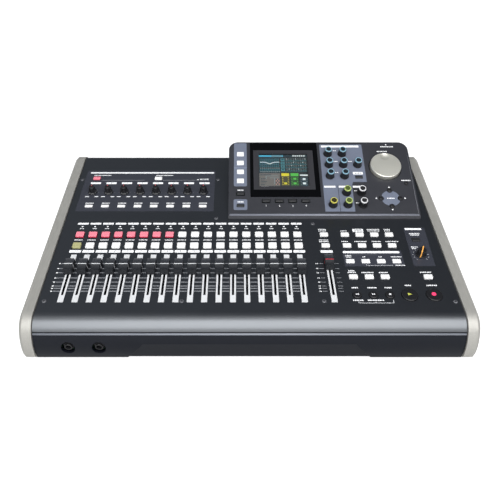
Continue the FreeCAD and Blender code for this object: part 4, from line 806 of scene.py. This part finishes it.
upper = Shape()
for y in (57.2, 73.0, 88.8, 104.6):
    key(upper, oblong(-9.5, y, 10.4, 8.4, 0.9), M["white_key"])
for x, y in ((-9.5, 36.0), (-9.5, 15.8), (25.1, 24.1), (43.0, 24.1), (60.9, 24.1),
             (78.8, 24.1), (155.1, 63.9)):
    key(upper, oblong(x, y, 11.0, 6.0, 0.9), M["dark_key"])
for dx, dy in FOUR_WAYS:
    key(upper, disc(cx + CURSOR_KEY_REACH * dx, cy + CURSOR_KEY_REACH * dy, 3.1), M["black"])
key(upper, disc(219.2, 53.3, 2.5), M["black"])
upper.build("console_key_caps", CONSOLE, "console_keys", "key_white", "console_keys")

# Fader caps


def fader_mesh(name, line):
    """A dished cap with a rear half painted lighter and a front half painted darker, as light and
    shade, a line across and down its sides, and a stem.
    """
    shape = Shape()
    side = [(-10, 0.8), (-9.9, 5.2), (-9.4, 8.9)]
    for step in range(1, 8):
        share = step / 8
        side.append((-9.4 + 8.4 * share, 8.9 - 1.1 * math.sin(math.pi * share ** 0.8)
                     + 0.5 * share))
    side += [(-1.0, 9.4), (1.0, 9.4)]
    side += [(-y, z) for y, z in reversed(side[:-2])]
    loops = []
    for x, inset in ((-5.3, 0.4), (-4.9, 0.0), (4.9, 0.0), (5.3, 0.4)):
        loops.append([(x, y * (1 - inset / 10), z - (inset if z > 1 else 0)) for y, z in side])
    shape.loops(loops, M["cap_front"], cap_low=True)
    # The faces of the rear half take the lighter copy as painted light; the others keep the
    # darker copy as painted shade.
    rear = shape.kind(M["cap"])
    for index, corners in enumerate(shape.faces):
        if len(corners) == 4 and min(shape.points[k][1] for k in corners) > 0.5:
            shape.kinds[index] = rear
    shape.prism(box(0, 0, 9.9, 1.25), 9.0, 9.43, line)
    for x in (-5.2, 5.2):
        shape.prism(box(x, 0, 0.25, 1.5), 1.2, 9.1, line)
    shape.prism(box(0, 0, 1.8, 5.0), -6.6, 0.9, M["dark_steel"])
    return shape.mesh(name)


CHANNEL_FADER_Y = -228.5
MASTER_FADER_Y = -221.0
channel_cap = fader_mesh("fader_cap", M["print_soft"])
for index, x in enumerate(CHANNELS):
    node = f"channel_fader_{index + 1:02d}"
    seat(f"fader_cap_{index + 1:02d}", channel_cap,
         PANEL @ Matrix.Translation((x * MM, CHANNEL_FADER_Y * MM, 0)), node, "cap_grey", node)
seat("fader_cap_master", fader_mesh("fader_cap_red", M["line_red_painted_glow"]),
     PANEL @ Matrix.Translation((MASTER_X * MM, MASTER_FADER_Y * MM, 0)), "master_fader",
     "cap_grey", "master_fader")

# Knobs


def turned(name, surface, x, y, body, slot, build):
    """A piece round the axis of a body, in place of the body's node of the same name."""
    shape = Shape()
    build(shape)
    return shape.build(name, surface @ Matrix.Translation((x * MM, y * MM, 0)), body, slot,
                       body)


def encoder(tint):
    """The builder of an encoder's knob with a ring of some colour and a hollow top."""
    ring, dish = M[f"ring_{tint}"], M[f"dish_{tint}"]

    def build(shape):
        lathe(shape, [(2.9, -6), (2.9, 0.6), (6.2, 0.6), (6.1, 1.4), (5.4, 2.6), (4.8, 9.9),
                      (4.6, 11.0), (4.3, 11.45), (3.7, 11.45), (3.55, 11.1), (3.3, 10.2),
                      (0.3, 10.0)],
              [M["steel"]] + [M["black"]] * 4 + [ring] * 4 + [dish] * 2, ribs=24,
              rib_depth=0.3, ribbed=(4,), steps=96)
    return build


ENCODER_X = 114.9
ENCODER_PITCH = 20.1
for name, column, y, ring in (("high_gain", 0, 105.5, "blue"), ("high_tone", 1, 105.5, "blue"),
                              ("mid_gain", 0, 85.75, "blue"), ("mid_tone", 1, 85.75, "blue"),
                              ("mid_width", 2, 85.75, "blue"), ("low_gain", 0, 66.0, "blue"),
                              ("low_tone", 1, 66.0, "blue"), ("pan", 0, 17.6, "yellow"),
                              ("effect", 1, 17.6, "green"), ("level", 1, 37.35, "green"),
                              ("send_one", 2, 37.35, "white"),
                              ("send_two", 2, 17.6, "white")):
    turned(f"encoder_{name}_knob", CONSOLE, ENCODER_X + ENCODER_PITCH * column, y,
           f"encoder_{name}", "knob_black", encoder(ring))


def trim(shape):
    lathe(shape, [(2.9, -6), (2.9, 0.6), (6.3, 0.6), (6.2, 1.3), (5.3, 2.9), (4.0, 10.4),
                  (3.4, 11.3), (0.3, 11.4)],
          [M["steel"], M["black"], M["knob_foot"], M["knob_foot"], M["knob_grip"], M["black"],
           M["black"]], ribs=9, rib_depth=0.7, ribbed=(3, 4), steps=90)
    shape.prism(box(0, 2.2, 0.9, 3.0), 11.0, 11.48, M["pointer_red"])
    half = 0.45
    down_the_grip = [[(-half, y, z), (half, y, z), (half, y - 0.5, z), (-half, y - 0.5, z)]
                     for y, z in ((5.2, 2.6), (4.8, 5.2), (4.4, 7.8), (3.85, 11.0))]
    for pair in zip(down_the_grip, down_the_grip[1:]):
        shape.loops(pair, M["pointer_red"])


for index, x in enumerate(INPUTS):
    turned(f"trim_knob_{index + 1}_grip", PANEL, x, TRIM_Y, f"trim_knob_{index + 1}",
           "knob_black", trim)


PHONES_TURN = math.radians(-22)


def phones(shape):
    lathe(shape, [(2.9, -6), (2.9, 0.6), (6.45, 0.6), (6.45, 1.6), (5.8, 2.8), (5.4, 8.6),
                  (5.0, 9.2), (0.3, 9.3)],
          [M["steel"]] + [M["black"]] * 6, ribs=20, rib_depth=0.3, ribbed=(4,), steps=80)
    cos, sin = math.cos(PHONES_TURN), math.sin(PHONES_TURN)

    def swung(outline, z):
        return [(x * cos - y * sin, x * sin + y * cos, z) for x, y in outline]

    for width, length, bottom, top, used in ((3.0, 12.2, 8.8, 10.2, "black"),
                                             (1.4, 12.0, 10.0, 10.45, "pointer_orange_painted_glow")):
        outline = rounded(0, 0, width, length, 0.8)
        shape.loops([swung(outline, bottom), swung(outline, top)], M[used])
    shape.loops([swung([(-0.7, y), (0.7, y), (0.7, y + 0.9), (-0.7, y + 0.9)], z)
                 for y, z in ((-6.35, 1.0), (-6.15, 10.3))], M["pointer_orange_painted_glow"])


turned("phones_knob_grip", PANEL, *PHONES_KNOB, "phones_knob", "knob_black", phones)

# Jog wheel: a turned disc with a slight crown and a finger dimple

WHEEL_RADIUS = 20.4
WHEEL_TOP = 6.35
WHEEL_CROWN = 0.2
WHEEL_RINGS = 34
WHEEL_STEPS = 120
DIMPLE_PLACE = 14.3
DIMPLE_RADIUS = 6.2
DIMPLE_DEPTH = 1.3


def wheel(shape):
    lathe(shape, [(3.0, -8), (3.0, -0.6), (21.3, -0.6), (21.45, -0.2), (21.4, 5.0),
                  (21.1, 5.8), (WHEEL_RADIUS, WHEEL_TOP)],
          [M["steel"], M["black"], M["black"], M["jog"], M["jog"], M["jog"]],
          steps=WHEEL_STEPS, closed=False)
    loops = []
    for level in range(WHEEL_RINGS):
        radius = WHEEL_RADIUS * (1 - level / WHEEL_RINGS) + 0.05
        crown = WHEEL_CROWN * (1 - (radius / WHEEL_RADIUS) ** 2)
        loop = []
        for x, y in circle(0, 0, radius, WHEEL_STEPS):
            away = math.hypot(x, y - DIMPLE_PLACE) / DIMPLE_RADIUS
            loop.append((x, y, WHEEL_TOP + crown - DIMPLE_DEPTH * max(0.0, 1 - away ** 2)))
        loops.append(loop)
    shape.loops(loops, M["jog"], smooth=True)


turned("jog_wheel_disc", CONSOLE, *JOG_WHEEL, "jog_wheel", "wheel_champagne", wheel)
well = Prints(-1.0)
well.mark(circle(*JOG_WHEEL, 22.6, 72), M["black"], 0.05)
well.shape.build("jog_well_floor", CONSOLE, "chassis", "panel_black")

# Screws in the panel, with a cross recess drawn as a raised black cross: painted shade

screws = Shape()
for x, down in ((-235.1, 279.2), (-77.5, 279.2), (85.8, 279.2), (236.1, 280),
                (-41.9, 136.3), (85.6, 147.2), (-237.2, 52.7), (-41.7, 52.7)):
    lathe(screws, [(2.6, -0.1), (2.6, 0.2), (1.7, 0.85), (0.2, 0.95)],
          [M["black"], M["screw"], M["screw"]], x, -down, 28)
    for wide, long in ((2.6, 0.55), (0.55, 2.6)):
        # The cross is black: painted shade in the recess.
        screws.prism(box(x, -down, wide, long), 0.5, 0.99, M["black"])
screws.build("panel_screws", PANEL, "chassis", "socket_black")

# Rear: fittings of the sockets, seen from behind, with x to the right and y up

FLANGE = 1.5
ROW = 33.0
ROW_LABELS = 51.6
LOWER_LABELS = 43.6


def screw(shape, x, y, base, radius):
    """A round screw head with a cross recess, drawn as a raised black cross: painted shade."""
    lathe(shape, [(radius, base - 0.1), (radius, base + 0.25), (radius * 0.72, base + 0.62),
                  (0.2, base + 0.7)], [M["dark_steel"]] * 3, x, y, 24)
    for wide, long in ((radius, radius * 0.24), (radius * 0.24, radius)):
        # The black of print also colours this cross: painted shade in the recess.
        shape.prism(box(x, y, wide, long), base + 0.5, base + 0.73, M["print_black"])


def nut(shape, x, y, base, radius, thick, bore, reach):
    """A washer, a hexagonal nut and the end of a threaded bush round a bore."""
    lathe(shape, [(radius + 0.7, base), (radius + 0.6, base + 0.4), (bore + 0.3, base + 0.4)],
          [M["steel"]] * 2, x, y, 36, closed=False)
    corners = circle(x, y, radius, 6)
    inner = circle(x, y, radius - 0.35, 6)
    shape.loops([[(*point, base + 0.3) for point in corners],
                 [(*point, base + thick - 0.35) for point in corners],
                 [(*point, base + thick) for point in inner],
                 [(*point, base + thick) for point in circle(x, y, bore + 0.3, 6)]],
                M["dark_steel"], cap_high=False)
    lathe(shape, [(bore + 1.2, base + 0.3), (bore + 1.2, base + reach - 0.25),
                  (bore + 0.95, base + reach), (bore + 0.25, base + reach),
                  (bore, base + reach - 0.25), (bore, base + 0.1)], [M["steel"]] * 5, x, y, 36,
          closed=False)


def polar(x, y, reach, degrees):
    """A place at some distance and angle from another."""
    turn = math.radians(degrees)
    return x + reach * math.cos(turn), y + reach * math.sin(turn)


fittings = Shape()


def tube(x, profile, used, steps=36):
    """An open turned ring of one finish round a socket of the row."""
    lathe(fittings, profile, [M[used]] * (len(profile) - 1), x, ROW, steps, closed=False)


wall = Prints()
for index in range(8):
    x = 222 - 29.0 * index
    tube(x, [(11.6, FLANGE), (11.6, 2.2), (11.2, 2.6), (10.3, 2.6), (10.0, FLANGE)], "black",
         48)
    tube(x, [(5.4, FLANGE), (5.4, 2.0), (5.1, 2.3), (3.9, 2.3), (3.5, FLANGE)], "steel")
    for degrees in (-30, -90, -150):
        fittings.prism(circle(*polar(x, ROW, 7.7, degrees), 1.2, 16), FLANGE, 1.62,
                       M["gloss"])
    fittings.prism(rounded(x, ROW + 8.2, 5.0, 2.2, 0.6), FLANGE, 2.4, M["steel"])
    for side in (-1, 1):
        screw(fittings, x + side * 12.0, ROW - side * 12.6, FLANGE, 1.5)
    wall.number(str(index + 1), x, ROW_LABELS, 2.8, "print_white_painted_glow", LEVEL)
for index in range(3):
    x = -16 - 24.0 * index
    nut(fittings, x, ROW, FLANGE, 6.2, 2.4, 3.3, 3.4)
    wall.legend(x, ROW_LABELS, 9)
for x, colour in ((-83.25, "ring_white"), (-97.75, "record_red")):
    tube(x, [(6.0, FLANGE), (6.0, 2.2), (4.2, 2.2)], colour)
    tube(x, [(4.24, 2.2), (4.24, 8.85), (4.05, 9.05), (3.2, 9.05)], "steel")
    tube(x, [(3.2, 9.02), (1.9, 9.02), (1.7, 8.6)], "ring_white", 30)
    wall.legend(x, ROW_LABELS, 8)
for x in (-115.5, -136.5):
    tube(x, [(9.0, FLANGE), (9.0, 2.0), (7.8, 2.1), (7.65, FLANGE)], "steel", 48)
    for degrees in range(0, 181, 45):
        fittings.prism(circle(*polar(x, ROW, 3.9, degrees), 0.8, 14), FLANGE - 0.1, 1.62,
                       M["print_grey"])
    for side in (-1, 1):
        screw(fittings, x, ROW + side * 12.0, FLANGE, 1.5)
    wall.legend(x, ROW_LABELS, 8)
frame_of(fittings, (-163.0, ROW - 5.1, -152.0, ROW + 5.1),
         (-161.7, ROW - 3.85, -153.3, ROW + 3.85), FLANGE, 1.85, M["steel"])
fittings.prism(box(-157.5, ROW - 1.2, 5.0, 2.2), -6.0, -1.0, M["ring_white"])
wall.legend(-157.5, ROW_LABELS, 8)
tube(-225, [(5.0, 0.45), (4.8, 0.75), (3.1, 0.75), (2.95, 0.4)], "black")
for x, width in ((-225, 12), (-203.5, 8)):
    wall.legend(x, LOWER_LABELS, width)
for x, y in [(x, 9.0) for x in (-236, -120, 0, 120, 236)] + [(-187, ROW), (0, ROW)]:
    screw(fittings, x, y, 0.0, 2.0)
wall.line([(-237, 55.2), (-166, 55.2)])
fittings.build("rear_fittings", REAR, "chassis", "socket_black")
wall.shape.build("rear_prints", REAR, "chassis", "tray_steel")

# Front: the bushes of the two jacks, with x to the right and y up

jacks = Shape()
for x in (-204.0, -169.3):
    lathe(jacks, [(4.52, 0.0), (4.52, 3.7), (4.3, 4.02), (3.6, 4.02), (3.3, 3.7), (3.3, 1.0)],
          [M["black"]] * 5, x, 19.2, 40, closed=False)
jacks.build("front_jack_bushes", FRONT, "chassis", "socket_black")

# Floor, light and camera

floor_mesh = bpy.data.meshes.new("floor")
floor_mesh.from_pydata([(-3, -3, 0), (3, -3, 0), (3, 3, 0), (-3, 3, 0)], [], [(0, 1, 2, 3)])
floor = bpy.data.objects.new("floor", floor_mesh)
bpy.context.scene.collection.objects.link(floor)
floor_finish = finish("floor_pale", srgb(196, 196, 196), 0.9, grain=60, bump=0, vary=0.01,
                      specular=0.0)
floor_mesh.materials.append(floor_finish)


def ray_kinds(tree):
    """One for rays from the camera, and one for mirrored and refracted rays."""
    path = tree.nodes.new("ShaderNodeLightPath")
    mirrored = calculate(tree, "MAXIMUM", path.outputs["Is Glossy Ray"],
                         path.outputs["Is Transmission Ray"])
    return path.outputs["Is Camera Ray"], mirrored


# The floor is white to the eye and to mirroring surfaces, under the shadow of the object. Its
# own light grows with the distance, as the lamps reach less of it there.
FLOOR_TO_EYE = 0.68
FLOOR_IN_MIRRORS = 0.1
tree = floor_finish.node_tree
shader = tree.nodes["Principled BSDF"]
shader.inputs["Emission Color"].default_value = (1, 1, 1, 1)
place = tree.nodes.new("ShaderNodeTexCoord")
away = tree.nodes.new("ShaderNodeVectorMath")
away.operation = "LENGTH"
wire(tree, place.outputs["Object"], away.inputs[0])
growth = ranged(tree, away.outputs["Value"], 0.4, 1.6, 1.0, 2.0)
camera_ray, mirrored = ray_kinds(tree)
seen = calculate(tree, "MULTIPLY_ADD", camera_ray, FLOOR_TO_EYE,
                 calculate(tree, "MULTIPLY", mirrored, FLOOR_IN_MIRRORS))
wire(tree, calculate(tree, "MULTIPLY", seen, growth), shader.inputs["Emission Strength"])


def softbox(name, place, target, width, length, power):
    """A rectangular lamp that faces a place on the object."""
    light = bpy.data.lights.new(name, "AREA")
    light.shape = "RECTANGLE"
    light.size = width
    light.size_y = length
    light.energy = power
    lamp = bpy.data.objects.new(name, light)
    bpy.context.scene.collection.objects.link(lamp)
    lamp.location = place
    lamp.rotation_euler = (Vector(target) - Vector(place)).to_track_quat("-Z", "Y").to_euler()


NOSE = (0, -0.155, 0.044)
softbox("key_light", (0.15, -1.27, 1.70), NOSE, 3.0, 1.75, 65)
softbox("front_fill", (0.1, -2.085, 0.60), NOSE, 2.9, 1.0, 2.5)
softbox("top_light", (-0.1, -0.30, 2.0), (-0.1, 0, 0), 2.4, 1.0, 7)

# The room: white to the eye. The object sees a dim ceiling that is brighter on the left, and
# its mirroring surfaces see a white band round the horizon that is taller at the front.
world = bpy.data.worlds.new("studio")
bpy.context.scene.world = world
world.use_nodes = True
tree = world.node_tree
room = tree.nodes["Background"]
room.inputs["Color"].default_value = (0.84, 0.92, 1.0, 1)
plain = tree.nodes.new("ShaderNodeBackground")
plain.inputs["Color"].default_value = (1, 1, 1, 1)
plain.inputs["Strength"].default_value = 1.0
toward = tree.nodes.new("ShaderNodeTexCoord")
split = tree.nodes.new("ShaderNodeSeparateXYZ")
wire(tree, toward.outputs["Generated"], split.inputs["Vector"])
right, rear, up = split.outputs
wire(tree, ranged(tree, right, -0.5, 0.5, 0.24, 0.09), room.inputs["Strength"])
band_top = ranged(tree, rear, -0.3, -0.8, 0.22, 0.6)
band = ranged(tree, up, 0.05, band_top, 1.0, 0.0)
camera_ray, mirrored = ray_kinds(tree)
white = calculate(tree, "MAXIMUM", camera_ray, calculate(tree, "MULTIPLY", mirrored, band))
choose = tree.nodes.new("ShaderNodeMixShader")
for source, socket in zip((white, room.outputs["Background"], plain.outputs["Background"]),
                          choose.inputs):
    wire(tree, source, socket)
wire(tree, choose.outputs["Shader"], tree.nodes["World Output"].inputs["Surface"])

camera = bpy.data.cameras.new("camera")
camera.lens = 38.95
camera.sensor_width = 36
camera.shift_x = 0.024
eye = bpy.data.objects.new("camera", camera)
bpy.context.scene.collection.objects.link(eye)
eye.location = (-0.01287, -0.552, 0.503)
eye.rotation_euler = (math.radians(48.8), 0, 0)
bpy.context.scene.camera = eye
bpy.context.scene.view_settings.view_transform = "Standard"
